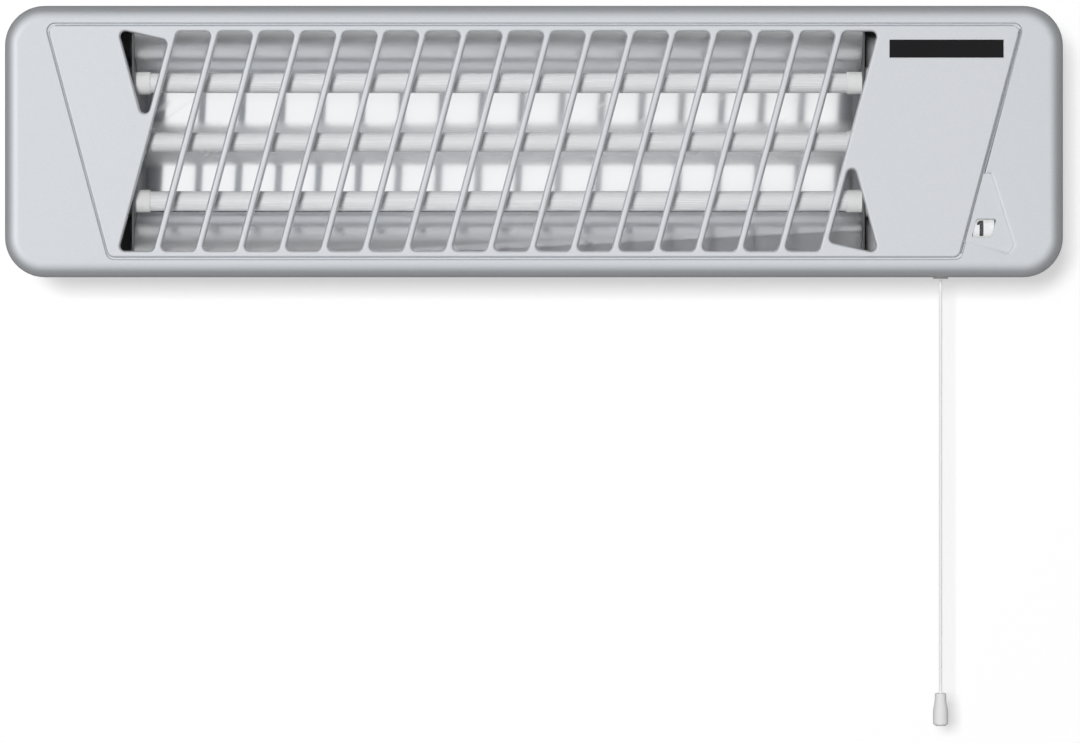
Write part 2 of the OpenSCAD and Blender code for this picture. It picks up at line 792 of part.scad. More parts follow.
module switch_body() {
  color([0.92, 0.92, 0.9]) face() difference() {
    translate([body_left, -switch_foot, -switch_back]) cube([switch_body_w, switch_foot - switch_top, switch_back - pocket_back]);
    rod(body_left - over, -window_drop, axle_depth, switch_body_w + 2 * over, axle_r + run_fit);
    for (p = tie_places)
      rod(body_left - over, p[0] - window_drop, axle_depth - p[1], switch_body_w + 2 * over, tie_r + fit);
  }
}

module switch_side_plate() {
  color([0.75, 0.76, 0.78]) face() difference() {
    translate([side_plate_left, -switch_foot, -switch_back]) cube([side_plate_t, switch_foot - switch_top, switch_back - pocket_back]);
    rod(side_plate_left - over, -window_drop, axle_depth, side_plate_t + 2 * over, axle_r + run_fit);
    for (p = tie_places)
      rod(side_plate_left - over, p[0] - window_drop, axle_depth - p[1], side_plate_t + 2 * over, tie_r + fit);
  }
}

module switch_tie_screws() {
  color([0.7, 0.71, 0.73]) face() for (p = tie_places) {
    rod(body_left, p[0] - window_drop, axle_depth - p[1], side_plate_left + side_plate_t - body_left, tie_r);
    rod(side_plate_left + side_plate_t, p[0] - window_drop, axle_depth - p[1], tie_r, 2 * tie_r);
    rod(body_left - tie_r, p[0] - window_drop, axle_depth - p[1], tie_r, 2 * tie_r);
  }
}

module drum_bearing() {
  color([0.75, 0.76, 0.78]) face() difference() {
    union() {
      translate([bearing_x, -window_drop - bearing_h / 2, -axle_depth - bearing_h / 2])
        cube([bearing_t, bearing_h, axle_depth + bearing_h / 2 - recess_back]);
      translate([bearing_x, -window_drop - bearing_h / 2, -recess_back - bearing_t])
        cube([bearing_foot, bearing_h, bearing_t]);
    }
    rod(bearing_x - over, -window_drop, axle_depth, bearing_t + 2 * over, axle_r + run_fit);
  }
}

module indicator_window() {
  color([0.85, 0.9, 0.92, 0.5]) face() {
    slab(recess_depth + lens_set, recess_floor_t - lens_set)
      polygon(rounded(leaning(window_x, -window_drop, window_w - 2 * fit, window_h - 2 * fit), window_r));
    slab(recess_back, lens_lip_t)
      polygon(rounded(leaning(window_x, -window_drop, window_w + 2 * lens_lip, window_h + 2 * lens_lip), window_r));
  }
}

module cord_bush() {
  color([0.95, 0.95, 0.94]) face() translate([cord_x, -body_h / 2, -cord_depth]) rotate([90, 0, 0]) difference() {
    union() {
      translate([0, 0, -wall_t]) cylinder(h = wall_t, r = bush_neck_r, $fn = round_fn);
      translate([0, 0, -wall_t - bush_flange_t]) cylinder(h = bush_flange_t, r = bush_flange_r, $fn = round_fn);
      cylinder(h = bush_lip_t, r = bush_lip_r, $fn = round_fn);
    }
    translate([0, 0, -body_d / 2]) cylinder(h = body_d, r = bush_bore_r, $fn = round_fn);
  }
}

module indicator_drum() {
  color([0.96, 0.96, 0.95]) face()
    sleeve(drum_start, -window_drop, axle_depth, drum_w, drum_r, axle_r + run_fit);
}

module drum_axle() {
  color([0.7, 0.71, 0.73]) face() rod(axle_start, -window_drop, axle_depth, axle_end - axle_start, axle_r);
}

// Saw-toothed wheel that the pawl catches
module ratchet_wheel() {
  color([0.9, 0.88, 0.8]) face() difference() {
    translate([0, -window_drop, -axle_depth]) side_plate(wheel_left, wheel_t,
      [for (i = [0 : teeth - 1], tip = [0, 1])
        let (r = tip > 0 ? tooth_tip_r : tooth_root_r, a = i * 360 / teeth) r * [cos(a), sin(a)]]);
    rod(wheel_left - over, -window_drop, axle_depth, wheel_t + 2 * over, axle_r + run_fit);
  }
}

// Draws round the lever's axle with the arm at its rest angle: y up and z out along the lever
module at_lever() {
  translate([0, -window_drop, -axle_depth]) rotate([lever_swing / 2, 0, 0]) children();
}

module switch_lever() {
  color([0.9, 0.9, 0.88]) face() at_lever() difference() {
    union() {
      rod(lever_left, 0, 0, lever_t, hub_r);
      translate([lever_left, -arm_h / 2, -lever_arm]) cube([lever_t, arm_h, lever_arm]);
      translate([cord_x - eye_w / 2, -arm_h / 2, -lever_arm - eye_len / 2]) cube([eye_w, arm_h, eye_len]);
      side_plate(lever_left, lever_t, [[0, -pawl_r], [pawl_reach, -pawl_r], [pawl_reach, pawl_r], [0, pawl_r]]);
      rod(lever_left, pawl_reach, 0, lever_t, pawl_r);
    }
    rod(lever_left - over, 0, 0, lever_t + 2 * over, axle_r + run_fit);
    rod(lever_left - over, pawl_reach, 0, lever_t + 2 * over, pawl_pin_r + run_fit);
    translate([cord_x, arm_h, -lever_arm]) rotate([90, 0, 0]) cylinder(h = 2 * arm_h, r = eye_r, $fn = round_fn);
  }
}

// Pawl on its pin, with a beak that ends just outside the wheel's teeth
module lever_pawl() {
  tip_r = tooth_tip_r + drum_gap + run_fit;
  color([0.7, 0.71, 0.73]) face() at_lever() difference() {
    union() {
      rod(lever_left + lever_t, pawl_reach, 0, wheel_t, pawl_r);
      side_plate(lever_left + lever_t, wheel_t, [[pawl_reach, pawl_r],
        [tip_r * cos(beak_turn), tip_r * sin(beak_turn)],
        [pawl_reach - pawl_r * cos(beak_turn), -pawl_r * sin(beak_turn)]]);
    }
    rod(lever_left + lever_t - over, pawl_reach, 0, wheel_t + 2 * over, pawl_pin_r + run_fit);
  }
}

module pawl_pin() {
  color([0.7, 0.71, 0.73]) face() at_lever()
    rod(lever_left, pawl_reach, 0, lever_t + wheel_t, pawl_pin_r);
}

// A straight cord in the object's own axes, hung down from a point
module hung_cord(top, long) {
  rings = ceil(long / cord_step);
  points = [for (i = [0 : rings], k = [0 : cord_sides - 1])
    [cord_x + cord_d / 2 * cos(k * 360 / cord_sides), front_y + cord_depth + cord_d / 2 * sin(k * 360 / cord_sides),
      top - long * i / rings]];
  sides = [for (i = [0 : rings - 1], k = [0 : cord_sides - 1]) let (n = (k + 1) % cord_sides)
    [i * cord_sides + k, (i + 1) * cord_sides + k, (i + 1) * cord_sides + n, i * cord_sides + n]];
  polyhedron(points, concat(sides,
    [[for (k = [0 : cord_sides - 1]) k]],
    [[for (k = [cord_sides - 1 : -1 : 0]) rings * cord_sides + k]]));
}

module inner_cord() {
  top = -window_drop + eye_rise + knot_lift + knot_r;
  color([0.94, 0.94, 0.93]) hung_cord(top, top - cord_exit_z - swing_gap);
}

module cord_knot() {
  color([0.94, 0.94, 0.93]) translate([cord_x, front_y + cord_depth, -window_drop + eye_rise + knot_lift])
    difference() {
      sphere(r = knot_r, $fn = round_fn);
      translate([0, 0, -2 * knot_r]) cylinder(h = 4 * knot_r, r = cord_d / 2 + run_fit, $fn = round_fn);
    }
}

module pull_cord() {
  color([0.94, 0.94, 0.93]) hung_cord(cord_exit_z, cord_len);
}

// Bell-shaped knob: a neck that flares into a skirt with a rounded foot
function smooth(s) = let (c = min(max(s, 0), 1)) c * c * (3 - 2 * c);
function knob_r(s) =
  let (flare = smooth((s - knob_flare_shares[0]) / (knob_flare_shares[1] - knob_flare_shares[0])),
    r = neck_d / 2 + (knob_d - neck_d) / 2 * flare,
    t = max(0, (s - 1 + knob_round_share) / knob_round_share))
  r * sqrt(1 - 0.8 * t * t);

module pull_knob() {
  color([0.93, 0.93, 0.92]) translate([cord_x, front_y + cord_depth, cord_exit_z - cord_len])
    rotate_extrude($fn = round_fn) polygon(concat([[0, 0]],
      [for (i = [0 : knob_steps]) [knob_r(i / knob_steps), -knob_h * i / knob_steps]],
      [[0, -knob_h]]));
}

// One ear of the wall bracket, with the bore of its pivot bolt
module bracket_ear() {
  difference() {
    union() {
      translate([ear_left, 0, 0]) rotate([90, 0, 90]) linear_extrude(bracket_t)
        polygon([[0, -bracket_h / 2], [0, bracket_h / 2], [-ear_foot, bracket_h / 2],
          [-pivot_out, ear_r], [-pivot_out, -ear_r], [-ear_foot, -bracket_h / 2]]);
      translate([ear_left, -pivot_out, 0]) rotate([0, 90, 0]) cylinder(h = bracket_t, r = ear_r, $fn = round_fn);
    }
    translate([ear_left - over, -pivot_out, 0]) rotate([0, 90, 0])
      cylinder(h = bracket_t + 2 * over, r = bolt_d / 2 + run_fit, $fn = round_fn);
  }
}

module wall_bracket() {
  color([0.78, 0.79, 0.8]) {
    difference() {
      translate([-bracket_w / 2, -bracket_t, -bracket_h / 2]) cube([bracket_w, bracket_t, bracket_h]);
      for (side = [-1, 1]) translate([side * hole_spacing / 2, over, 0]) rotate([90, 0, 0])
        cylinder(h = bracket_t + 2 * over, r = hole_d / 2, $fn = round_fn);
      translate([0, over, 0]) rotate([90, 0, 0]) linear_extrude(bracket_t + 2 * over) polygon(rounded(
        [for (c = [[-1, 1], [1, 1], [1, -1], [-1, -1]]) [c.x * slot_hole_w / 2, c.y * hole_d / 2]], hole_d / 2 - fit));
    }
    for (side = [0, 1]) mirror([side, 0, 0]) bracket_ear();
  }
}

// Draws along the tilt axis at the bracket's right and left ears
module at_pivots() {
  for (side = [0, 1]) mirror([side, 0, 0]) translate([0, -pivot_out, hinge_z]) rotate([0, 90, 0]) children();
}

module pivot_bolts() {
  color([0.7, 0.71, 0.73]) at_pivots() {
    translate([0, 0, lug_left]) cylinder(h = bracket_w / 2 + nut_t + bolt_tail - lug_left, r = bolt_d / 2, $fn = round_fn);
    translate([0, 0, lug_left - bolt_head_t]) cylinder(h = bolt_head_t, r = bolt_head_r, $fn = round_fn);
  }
}

module pivot_nuts() {
  color([0.7, 0.71, 0.73]) at_pivots() difference() {
    translate([0, 0, bracket_w / 2]) cylinder(h = nut_t, r = nut_r, $fn = 6);
    translate([0, 0, bracket_w / 2 - over]) cylinder(h = nut_t + 2 * over, r = bolt_d / 2 + run_fit, $fn = round_fn);
  }
}

module friction_washers() {
  color([0.5, 0.3, 0.2]) at_pivots() difference() {
    translate([0, 0, ear_left - washer_t]) cylinder(h = washer_t, r = washer_r, $fn = round_fn);
    translate([0, 0, ear_left - washer_t - over]) cylinder(h = washer_t + 2 * over, r = bolt_d / 2 + run_fit, $fn = round_fn);
  }
}

wall_bracket();
pivot_bolts();
pivot_nuts();
friction_washers();
rear_cover();
tilt_lugs();
lug_rivets();
cover_screws();
cable_grommet();
front_housing();
front_grille();
grille_clips();
name_plate();
reflector();
reflector_end_left();
reflector_end_right();
reflector_screws();
thermal_cutout();
quartz_tube_top();
quartz_tube_middle();
quartz_tube_bottom();
heating_coil_top();
heating_coil_middle();
heating_coil_bottom();
ceramic_caps_left();
ceramic_caps_right();
tube_terminals();
terminal_block();
terminal_screws();
cable_clamp();
clamp_screws();
earth_screw();
switch_body();
switch_side_plate();
switch_tie_screws();
drum_bearing();
indicator_window();
cord_bush();
indicator_drum();
drum_axle();
ratchet_wheel();
switch_lever();
lever_pawl();
pawl_pin();
inner_cord();
cord_knot();
pull_cord();
pull_knob();
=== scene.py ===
"""Looks of a wall-mounted quartz heater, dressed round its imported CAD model.

Lengths are metres. The wall is the plane y = 0, the front faces -Y, +X is to the viewer's right and
+Z is up. Every piece sits at the origin with its place in its mesh, in the same frame as the CAD.
"""

import json
import logging
import math
from dataclasses import dataclass, replace
from enum import Enum
from typing import Callable, Mapping, Sequence, Union

import bmesh
import bpy
from mathutils import Matrix, Vector

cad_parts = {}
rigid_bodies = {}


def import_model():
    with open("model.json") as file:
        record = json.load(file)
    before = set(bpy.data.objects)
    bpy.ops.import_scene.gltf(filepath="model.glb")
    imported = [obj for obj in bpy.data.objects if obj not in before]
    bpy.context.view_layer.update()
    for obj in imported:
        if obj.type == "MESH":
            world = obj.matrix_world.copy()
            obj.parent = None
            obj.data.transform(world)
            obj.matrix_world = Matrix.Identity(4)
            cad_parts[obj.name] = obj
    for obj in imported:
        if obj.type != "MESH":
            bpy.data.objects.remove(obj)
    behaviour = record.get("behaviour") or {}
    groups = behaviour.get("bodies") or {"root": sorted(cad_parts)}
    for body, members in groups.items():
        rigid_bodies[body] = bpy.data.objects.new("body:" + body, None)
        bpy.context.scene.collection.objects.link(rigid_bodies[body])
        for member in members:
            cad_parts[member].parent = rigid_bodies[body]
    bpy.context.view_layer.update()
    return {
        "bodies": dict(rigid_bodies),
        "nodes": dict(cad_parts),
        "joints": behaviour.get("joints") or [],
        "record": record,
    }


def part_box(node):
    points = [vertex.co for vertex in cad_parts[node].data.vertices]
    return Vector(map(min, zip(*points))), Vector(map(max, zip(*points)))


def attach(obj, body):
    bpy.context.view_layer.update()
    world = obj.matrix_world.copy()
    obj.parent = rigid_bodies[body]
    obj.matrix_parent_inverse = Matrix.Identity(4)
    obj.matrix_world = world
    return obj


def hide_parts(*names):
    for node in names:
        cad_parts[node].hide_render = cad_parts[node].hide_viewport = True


LOG = logging.getLogger("quartz_heater")
Colour = tuple[float, float, float]
Socket = bpy.types.NodeSocket
Node = bpy.types.Node
Value = Union[float, Sequence[float], Socket]
Inputs = Mapping[Union[str, int], Value]
Given = bpy.types.NodeOutputs
Drawn = dict[str, Socket]


class Body(str, Enum):
    """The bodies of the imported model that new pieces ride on."""

    HEATER = "heater"
    DRUM = "drum"
    CORD_SLIDE = "cord_slide"
    CORD_HANG = "cord_hang"


class Effect(str, Enum):
    """Surface effects that several finishes share."""

    GRAIN = "surface grain"
    CLOUDS = "tone clouds"
    FLAKE = "metal flake"
    ROLLED = "rolled lines"
    SCUFFS = "fine scuffs"
    WEAR = "edge wear"
    DUST = "settled dust"


class Graph:
    """A node tree that is built by short calls."""

    def __init__(self, tree: bpy.types.NodeTree) -> None:
        """Keep the tree.

        Args:
            tree: The node tree of a material, a world or a group.
        """
        self.tree = tree

    def add(self, kind: str, inputs: Inputs = {}, **settings: object) -> Node:
        """Add a node.

        Args:
            kind: The node's type name, such as ShaderNodeTexNoise.
            inputs: A value or a socket for each named or numbered input.
            settings: The node's own properties.

        Returns:
            The new node.
        """
        node = self.tree.nodes.new(kind)
        for name, value in settings.items():
            setattr(node, name, value)
        self.fill(node, inputs)
        return node

    def fill(self, node: Node, inputs: Inputs) -> None:
        """Write plain values to a node's inputs, and link sockets to them.

        Args:
            node: The node.
            inputs: A value or a socket for each named or numbered input.
        """
        for key, value in inputs.items():
            if isinstance(value, Socket):
                self.tree.links.new(value, node.inputs[key])
            else:
                node.inputs[key].default_value = value

    def raise_by(self, shader: Node, height: Socket, distance: float) -> None:
        """Give a shader a bump of a height in metres."""
        bump = self.add("ShaderNodeBump", {"Height": height, "Distance": distance, "Strength": 1.0})
        self.fill(shader, {"Normal": bump.outputs[0]})

    def maths(self, operation: str, *values: Value, clamp: bool = False) -> Socket:
        """Return the result of a Math node over the values."""
        node = self.add("ShaderNodeMath", dict(enumerate(values)), operation=operation, use_clamp=clamp)
        return node.outputs[0]

    def span(self, value: Value, low: float, high: float, to_low: float, to_high: float) -> Socket:
        """Return a value carried from one span to another and held inside it."""
        inputs = {0: value, 1: low, 2: high, 3: to_low, 4: to_high}
        return self.add("ShaderNodeMapRange", inputs, clamp=True).outputs[0]

    def blend(self, factor: Value, first: Value, second: Value) -> Socket:
        """Return a colour between two colours."""
        node = self.add("ShaderNodeMix", {0: factor, 6: first, 7: second}, data_type="RGBA")
        return node.outputs[2]

    def stretched(self, vector: Value, scale: Sequence[float]) -> Socket:
        """Return a vector multiplied part by part."""
        node = self.add("ShaderNodeVectorMath", {0: vector, 1: tuple(scale)}, operation="MULTIPLY")
        return node.outputs[0]

    def noise(self, vector: Value, scale: Value, detail: float = 2.0, rough: float = 0.5) -> Socket:
        """Return a noise texture's value."""
        inputs = {"Vector": vector, "Scale": scale, "Detail": detail, "Roughness": rough}
        return self.add("ShaderNodeTexNoise", inputs).outputs[0]

    def effect(self, effect: Effect, vector: Value, **inputs: Value) -> Node:
        """Place a shared effect on a surface.

        Args:
            effect: The effect.
            vector: The surface's coordinates.
            inputs: The effect's other inputs, with underscores for spaces.

        Returns:
            The group node.
        """
        node = self.add("ShaderNodeGroup", node_tree=shared_group(effect))
        named = {name.replace("_", " ").capitalize(): value for name, value in inputs.items()}
        self.fill(node, {"Vector": vector, **named})
        return node


def cleared(owner: Union[bpy.types.Material, bpy.types.World]) -> Graph:
    """Empty the node tree of a material or the world.

    Args:
        owner: The material or the world.

    Returns:
        Its empty tree.
    """
    owner.use_nodes = True
    owner.node_tree.nodes.clear()
    return Graph(owner.node_tree)


def draw_grain(graph: Graph, given: Given) -> Drawn:
    """Draw a fine even unevenness, as of paint or moulded plastic.

    Args:
        graph: The group's nodes.
        given: What the group takes in.

    Returns:
        The unevenness as a height.
    """
    coarse = graph.noise(given["Vector"], given["Scale"], detail=3.0)
    fine = graph.noise(given["Vector"], graph.maths("MULTIPLY", given["Scale"], 3.7), detail=1.0)
    return {"Height": graph.maths("ADD", coarse, graph.maths("MULTIPLY", fine, 0.4))}


def draw_clouds(graph: Graph, given: Given) -> Drawn:
    """Draw a slow drift between two tones.

    Args:
        graph: The group's nodes.
        given: What the group takes in.

    Returns:
        The drifting tone and the mask that it drifts by.
    """
    drift = graph.span(graph.noise(given["Vector"], given["Scale"], detail=3.0), 0.3, 0.7, 0.0, 1.0)
    return {"Color": graph.blend(drift, given["First tone"], given["Second tone"]), "Mask": drift}


def draw_flake(graph: Graph, given: Given) -> Drawn:
    """Draw aluminium flake in lacquer: tiny cells of slightly different brightness.

    Args:
        graph: The group's nodes.
        given: What the group takes in.

    Returns:
        The flaked tone, and the cells as a height.
    """
    cells = graph.add("ShaderNodeTexVoronoi", {"Vector": given["Vector"], "Scale": given["Scale"]})
    split = graph.add("ShaderNodeSeparateColor", {0: cells.outputs["Color"]})
    off_middle = graph.maths("SUBTRACT", split.outputs[0], 0.5)
    glint = graph.maths("ADD", 1.0, graph.maths("MULTIPLY", off_middle, given["Amount"]))
    tinted = graph.add("ShaderNodeVectorMath", {0: given["Color"], 3: glint}, operation="SCALE")
    return {"Color": tinted.outputs[0], "Height": split.outputs[1]}


def draw_rolled(graph: Graph, given: Given) -> Drawn:
    """Draw the long faint lines along X that a rolling mill leaves on bright sheet.

    Args:
        graph: The group's nodes.
        given: What the group takes in.

    Returns:
        The lines and the sheet's slow waves, both as heights.
    """
    along = graph.stretched(given["Vector"], (0.02, 1.0, 1.0))
    lines = graph.noise(along, given["Scale"], detail=4.0, rough=0.6)
    waves = graph.noise(graph.stretched(given["Vector"], (0.35, 1.0, 1.0)), 28.0, detail=2.0)
    return {"Height": lines, "Waves": waves}


def draw_scuffs(graph: Graph, given: Given) -> Drawn:
    """Draw sparse hair scratches and rub marks from handling.

    Args:
        graph: The group's nodes.
        given: What the group takes in.

    Returns:
        The mask of the scratches.
    """
    slant = {"Vector": given["Vector"], "Angle": 0.6}
    bent = graph.add("ShaderNodeVectorRotate", slant, rotation_type="Y_AXIS").outputs[0]
    hair = graph.noise(graph.stretched(bent, (0.06, 1.0, 1.0)), given["Scale"], detail=2.0)
    patch = graph.noise(given["Vector"], 22.0, detail=2.0)
    thin = graph.span(hair, 0.62, 0.72, 0.0, 1.0)
    return {"Mask": graph.maths("MULTIPLY", thin, graph.span(patch, 0.5, 0.65, 0.0, 1.0))}


def draw_wear(graph: Graph, given: Given) -> Drawn:
    """Draw rubbed edges, found by how far the surface bulges.

    Args:
        graph: The group's nodes.
        given: What the group takes in.

    Returns:
        The mask of the rubbed edges.
    """
    bulge = graph.add("ShaderNodeNewGeometry").outputs["Pointiness"]
    edge = graph.span(bulge, 0.54, 0.66, 0.0, 1.0)
    patch = graph.span(graph.noise(given["Vector"], given["Scale"], detail=4.0), 0.4, 0.6, 0.2, 1.0)
    return {"Mask": graph.maths("MULTIPLY", edge, patch, clamp=True)}


def draw_dust(graph: Graph, given: Given) -> Drawn:
    """Draw dust on the faces that look up.

    Args:
        graph: The group's nodes.
        given: What the group takes in.

    Returns:
        The mask of the dust.
    """
    normal = graph.add("ShaderNodeNewGeometry").outputs["Normal"]
    upward = graph.add("ShaderNodeSeparateXYZ", {0: normal}).outputs[2]
    patch = graph.span(graph.noise(given["Vector"], given["Scale"], detail=5.0), 0.35, 0.65, 0.0, 1.0)
    lying = graph.maths("MULTIPLY", graph.span(upward, 0.3, 0.95, 0.0, 1.0), patch)
    return {"Mask": graph.maths("MULTIPLY", lying, given["Amount"], clamp=True)}


@dataclass(frozen=True)
class GroupPlan:
    """What a shared effect takes in and puts out, and how it is drawn."""

    takes: tuple[tuple[str, str], ...]
    puts: tuple[tuple[str, str], ...]
    draw: Callable[[Graph, Given], Drawn]


PLANS: dict[Effect, GroupPlan] = {
    Effect.GRAIN: GroupPlan((("Scale", "Float"),), (("Height", "Float"),), draw_grain),
    Effect.CLOUDS: GroupPlan((("Scale", "Float"), ("First tone", "Color"), ("Second tone", "Color")),
                             (("Color", "Color"), ("Mask", "Float")), draw_clouds),
    Effect.FLAKE: GroupPlan((("Scale", "Float"), ("Amount", "Float"), ("Color", "Color")),
                            (("Color", "Color"), ("Height", "Float")), draw_flake),
    Effect.ROLLED: GroupPlan((("Scale", "Float"),), (("Height", "Float"), ("Waves", "Float")), draw_rolled),
    Effect.SCUFFS: GroupPlan((("Scale", "Float"),), (("Mask", "Float"),), draw_scuffs),
    Effect.WEAR: GroupPlan((("Scale", "Float"),), (("Mask", "Float"),), draw_wear),
    Effect.DUST: GroupPlan((("Scale", "Float"), ("Amount", "Float")), (("Mask", "Float"),), draw_dust),
}


def shared_group(effect: Effect) -> bpy.types.NodeTree:
    """Build a shared effect once.

    Args:
        effect: The effect.

    Returns:
        Its node group.
    """
    tree = bpy.data.node_groups.get(effect.value)
    if tree is not None:
        return tree
    plan = PLANS[effect]
    tree = bpy.data.node_groups.new(effect.value, "ShaderNodeTree")
    sockets = [("Vector", "Vector", "INPUT")]
    sockets += [(name, kind, "INPUT") for name, kind in plan.takes]
    sockets += [(name, kind, "OUTPUT") for name, kind in plan.puts]
    for name, kind, side in sockets:
        tree.interface.new_socket(name=name, in_out=side, socket_type=f"NodeSocket{kind}")
    graph = Graph(tree)
    drawn = plan.draw(graph, graph.add("NodeGroupInput").outputs)
    graph.add("NodeGroupOutput", drawn)
    return tree


def rgba(colour: Colour) -> tuple[float, float, float, float]:
    """Return a colour with full alpha."""
    return (*colour, 1.0)


@dataclass(frozen=True)
class Finish:
    """A finish: the material slot it belongs to, its plain values and the textures on it."""

    slot: str
    colour: Colour
    second: Colour
    roughness: float = 0.4
    metallic: float = 0.0
    rough_drift: float = 0.06
    cloud_scale: float = 12.0
    grain_scale: float = 900.0
    grain_height: float = 0.00002
    coat: float = 0.0
    coat_roughness: float = 0.1
    specular: float = 0.5
    scuff_scale: float = 300.0
    scuff_rough: float = 0.1
    dust: float = 0.0
    dust_scale: float = 60.0
    dust_tone: Colour = (0.55, 0.54, 0.52)

    def material(self) -> bpy.types.Material:
        """Make the finish's material at its first use.

        Returns:
            The material.
        """
        made = bpy.data.materials.get(f"{self.slot}_finish")
        if made is not None:
            return made
        made = bpy.data.materials.new(f"{self.slot}_finish")
        graph = cleared(made)
        shader = graph.add("ShaderNodeBsdfPrincipled", {
            "Metallic": self.metallic, "Coat Weight": self.coat, "Coat Roughness": self.coat_roughness,
            "Specular IOR Level": self.specular})
        graph.add("ShaderNodeOutputMaterial", {"Surface": shader.outputs[0]})
        self.dress(graph, shader, graph.add("ShaderNodeTexCoord").outputs["Object"])
        return made

    def dress(self, graph: Graph, shader: Node, where: Socket) -> None:
        """Lay the finish's textures on its shader.

        Args:
            graph: The material's nodes.
            shader: Its Principled shader.
            where: The object's coordinates.
        """
        tone, drift = self.tones(graph, where)
        graph.fill(shader, {"Base Color": self.dusted(graph, where, tone),
                            "Roughness": self.rough(graph, drift)})
        self.grain(graph, shader, where)

    def tones(self, graph: Graph, where: Socket) -> tuple[Socket, Socket]:
        """Drift the colour slowly between the finish's two tones.

        Args:
            graph: The material's nodes.
            where: The object's coordinates.

        Returns:
            The tone, and the mask that it drifts by.
        """
        clouds = graph.effect(Effect.CLOUDS, where, scale=self.cloud_scale, first_tone=rgba(self.colour),
                              second_tone=rgba(self.second)).outputs
        return clouds["Color"], clouds["Mask"]

    def dusted(self, graph: Graph, where: Socket, tone: Socket) -> Socket:
        """Lay the finish's share of dust on a tone.

        Args:
            graph: The material's nodes.
            where: The object's coordinates.
            tone: The clean tone.

        Returns:
            The dusty tone, or the clean one where the finish has no dust.
        """
        if self.dust == 0.0:
            return tone
        mask = graph.effect(Effect.DUST, where, scale=self.dust_scale, amount=self.dust).outputs["Mask"]
        return graph.blend(mask, tone, rgba(self.dust_tone))

    def rough(self, graph: Graph, drift: Socket, start: float = 0.0, end: float = 1.0) -> Socket:
        """Drift the roughness with a mask.

        Args:
            graph: The material's nodes.
            drift: The mask.
            start: The mask's value at the smoothest places.
            end: The mask's value at the roughest places.

        Returns:
            The roughness.
        """
        low = self.roughness - self.rough_drift
        high = self.roughness + self.rough_drift
        return graph.span(drift, start, end, low, high)

    def scuffed(self, graph: Graph, where: Socket, rough: Socket) -> Socket:
        """Return a roughness with the finish's scuffs on it."""
        scuff = graph.effect(Effect.SCUFFS, where, scale=self.scuff_scale).outputs["Mask"]
        return graph.maths("ADD", rough, graph.maths("MULTIPLY", scuff, self.scuff_rough))

    def grain(self, graph: Graph, shader: Node, where: Socket) -> None:
        """Give the shader the finish's fine unevenness."""
        height = graph.effect(Effect.GRAIN, where, scale=self.grain_scale).outputs["Height"]
        graph.raise_by(shader, height, self.grain_height)


@dataclass(frozen=True)
class FlakePaint(Finish):
    """Satin silver lacquer with aluminium flake."""

    flake_scale: float = 2600.0
    flake_amount: float = 0.05
    scuff_scale: float = 420.0
    scuff_rough: float = 0.05

    def dress(self, graph: Graph, shader: Node, where: Socket) -> None:
        """Lay flake, slow tone drift, orange peel and a few scuffs on the lacquer.

        Args:
            graph: The material's nodes.
            shader: Its Principled shader.
            where: The object's coordinates.
        """
        tone, drift = self.tones(graph, where)
        flake = graph.effect(Effect.FLAKE, where, scale=self.flake_scale, amount=self.flake_amount,
                             color=tone).outputs["Color"]
        graph.fill(shader, {"Base Color": self.dusted(graph, where, flake),
                            "Roughness": self.scuffed(graph, where, self.rough(graph, drift))})
        self.grain(graph, shader, where)


@dataclass(frozen=True)
class BrightSheet(Finish):
    """Rolled bright aluminium sheet."""

    line_scale: float = 900.0
    line_height: float = 0.000012
    wave_share: float = 6.0
    # Distances from the middle level, past which or between which the sheet is duller
    dull_from: float = 0.0
    dull_over: float = 0.0012
    dulled: float = 0.0
    ridge: float = 0.0
    ridge_span: tuple[float, float] = (0.006, 0.012)

    def dress(self, graph: Graph, shader: Node, where: Socket) -> None:
        """Lay rolling lines and faint heat tones on the sheet, and dull its outer and middle bends.

        Args:
            graph: The material's nodes.
            shader: Its Principled shader.
            where: The object's coordinates.
        """
        tone, drift = self.tones(graph, where)
        rolled = graph.effect(Effect.ROLLED, where, scale=self.line_scale).outputs
        rough = self.scuffed(graph, where, self.rough(graph, drift))
        if self.dulled > 0.0:
            level = graph.maths("ABSOLUTE", graph.add("ShaderNodeSeparateXYZ", {0: where}).outputs[2])
            dull = graph.span(level, self.dull_from, self.dull_from + self.dull_over, 0.0, self.dulled)
            near = graph.span(level, *self.ridge_span, self.ridge, 0.0)
            rough = graph.maths("ADD", rough, graph.maths("ADD", dull, near))
        graph.fill(shader, {"Base Color": tone, "Roughness": rough})
        waves = graph.maths("MULTIPLY", rolled["Waves"], self.wave_share)
        graph.raise_by(shader, graph.maths("ADD", rolled["Height"], waves), self.line_height)


@dataclass(frozen=True)
class PlatedMetal(Finish):
    """Plated or plain turned metal with rubbed edges."""

    worn: Colour = (0.5, 0.5, 0.5)
    wear_scale: float = 300.0
    wear_shine: float = 0.08

    def dress(self, graph: Graph, shader: Node, where: Socket) -> None:
        """Lay cloudy plating, rubbed edges and turning marks on the metal.

        Args:
            graph: The material's nodes.
            shader: Its Principled shader.
            where: The object's coordinates.
        """
        tone, drift = self.tones(graph, where)
        edge = graph.effect(Effect.WEAR, where, scale=self.wear_scale).outputs["Mask"]
        rubbed = graph.blend(edge, tone, rgba(self.worn))
        shine = graph.maths("MULTIPLY", edge, self.wear_shine)
        rough = graph.maths("SUBTRACT", self.rough(graph, drift), shine)
        graph.fill(shader, {"Base Color": self.dusted(graph, where, rubbed), "Roughness": rough})
        self.grain(graph, shader, where)


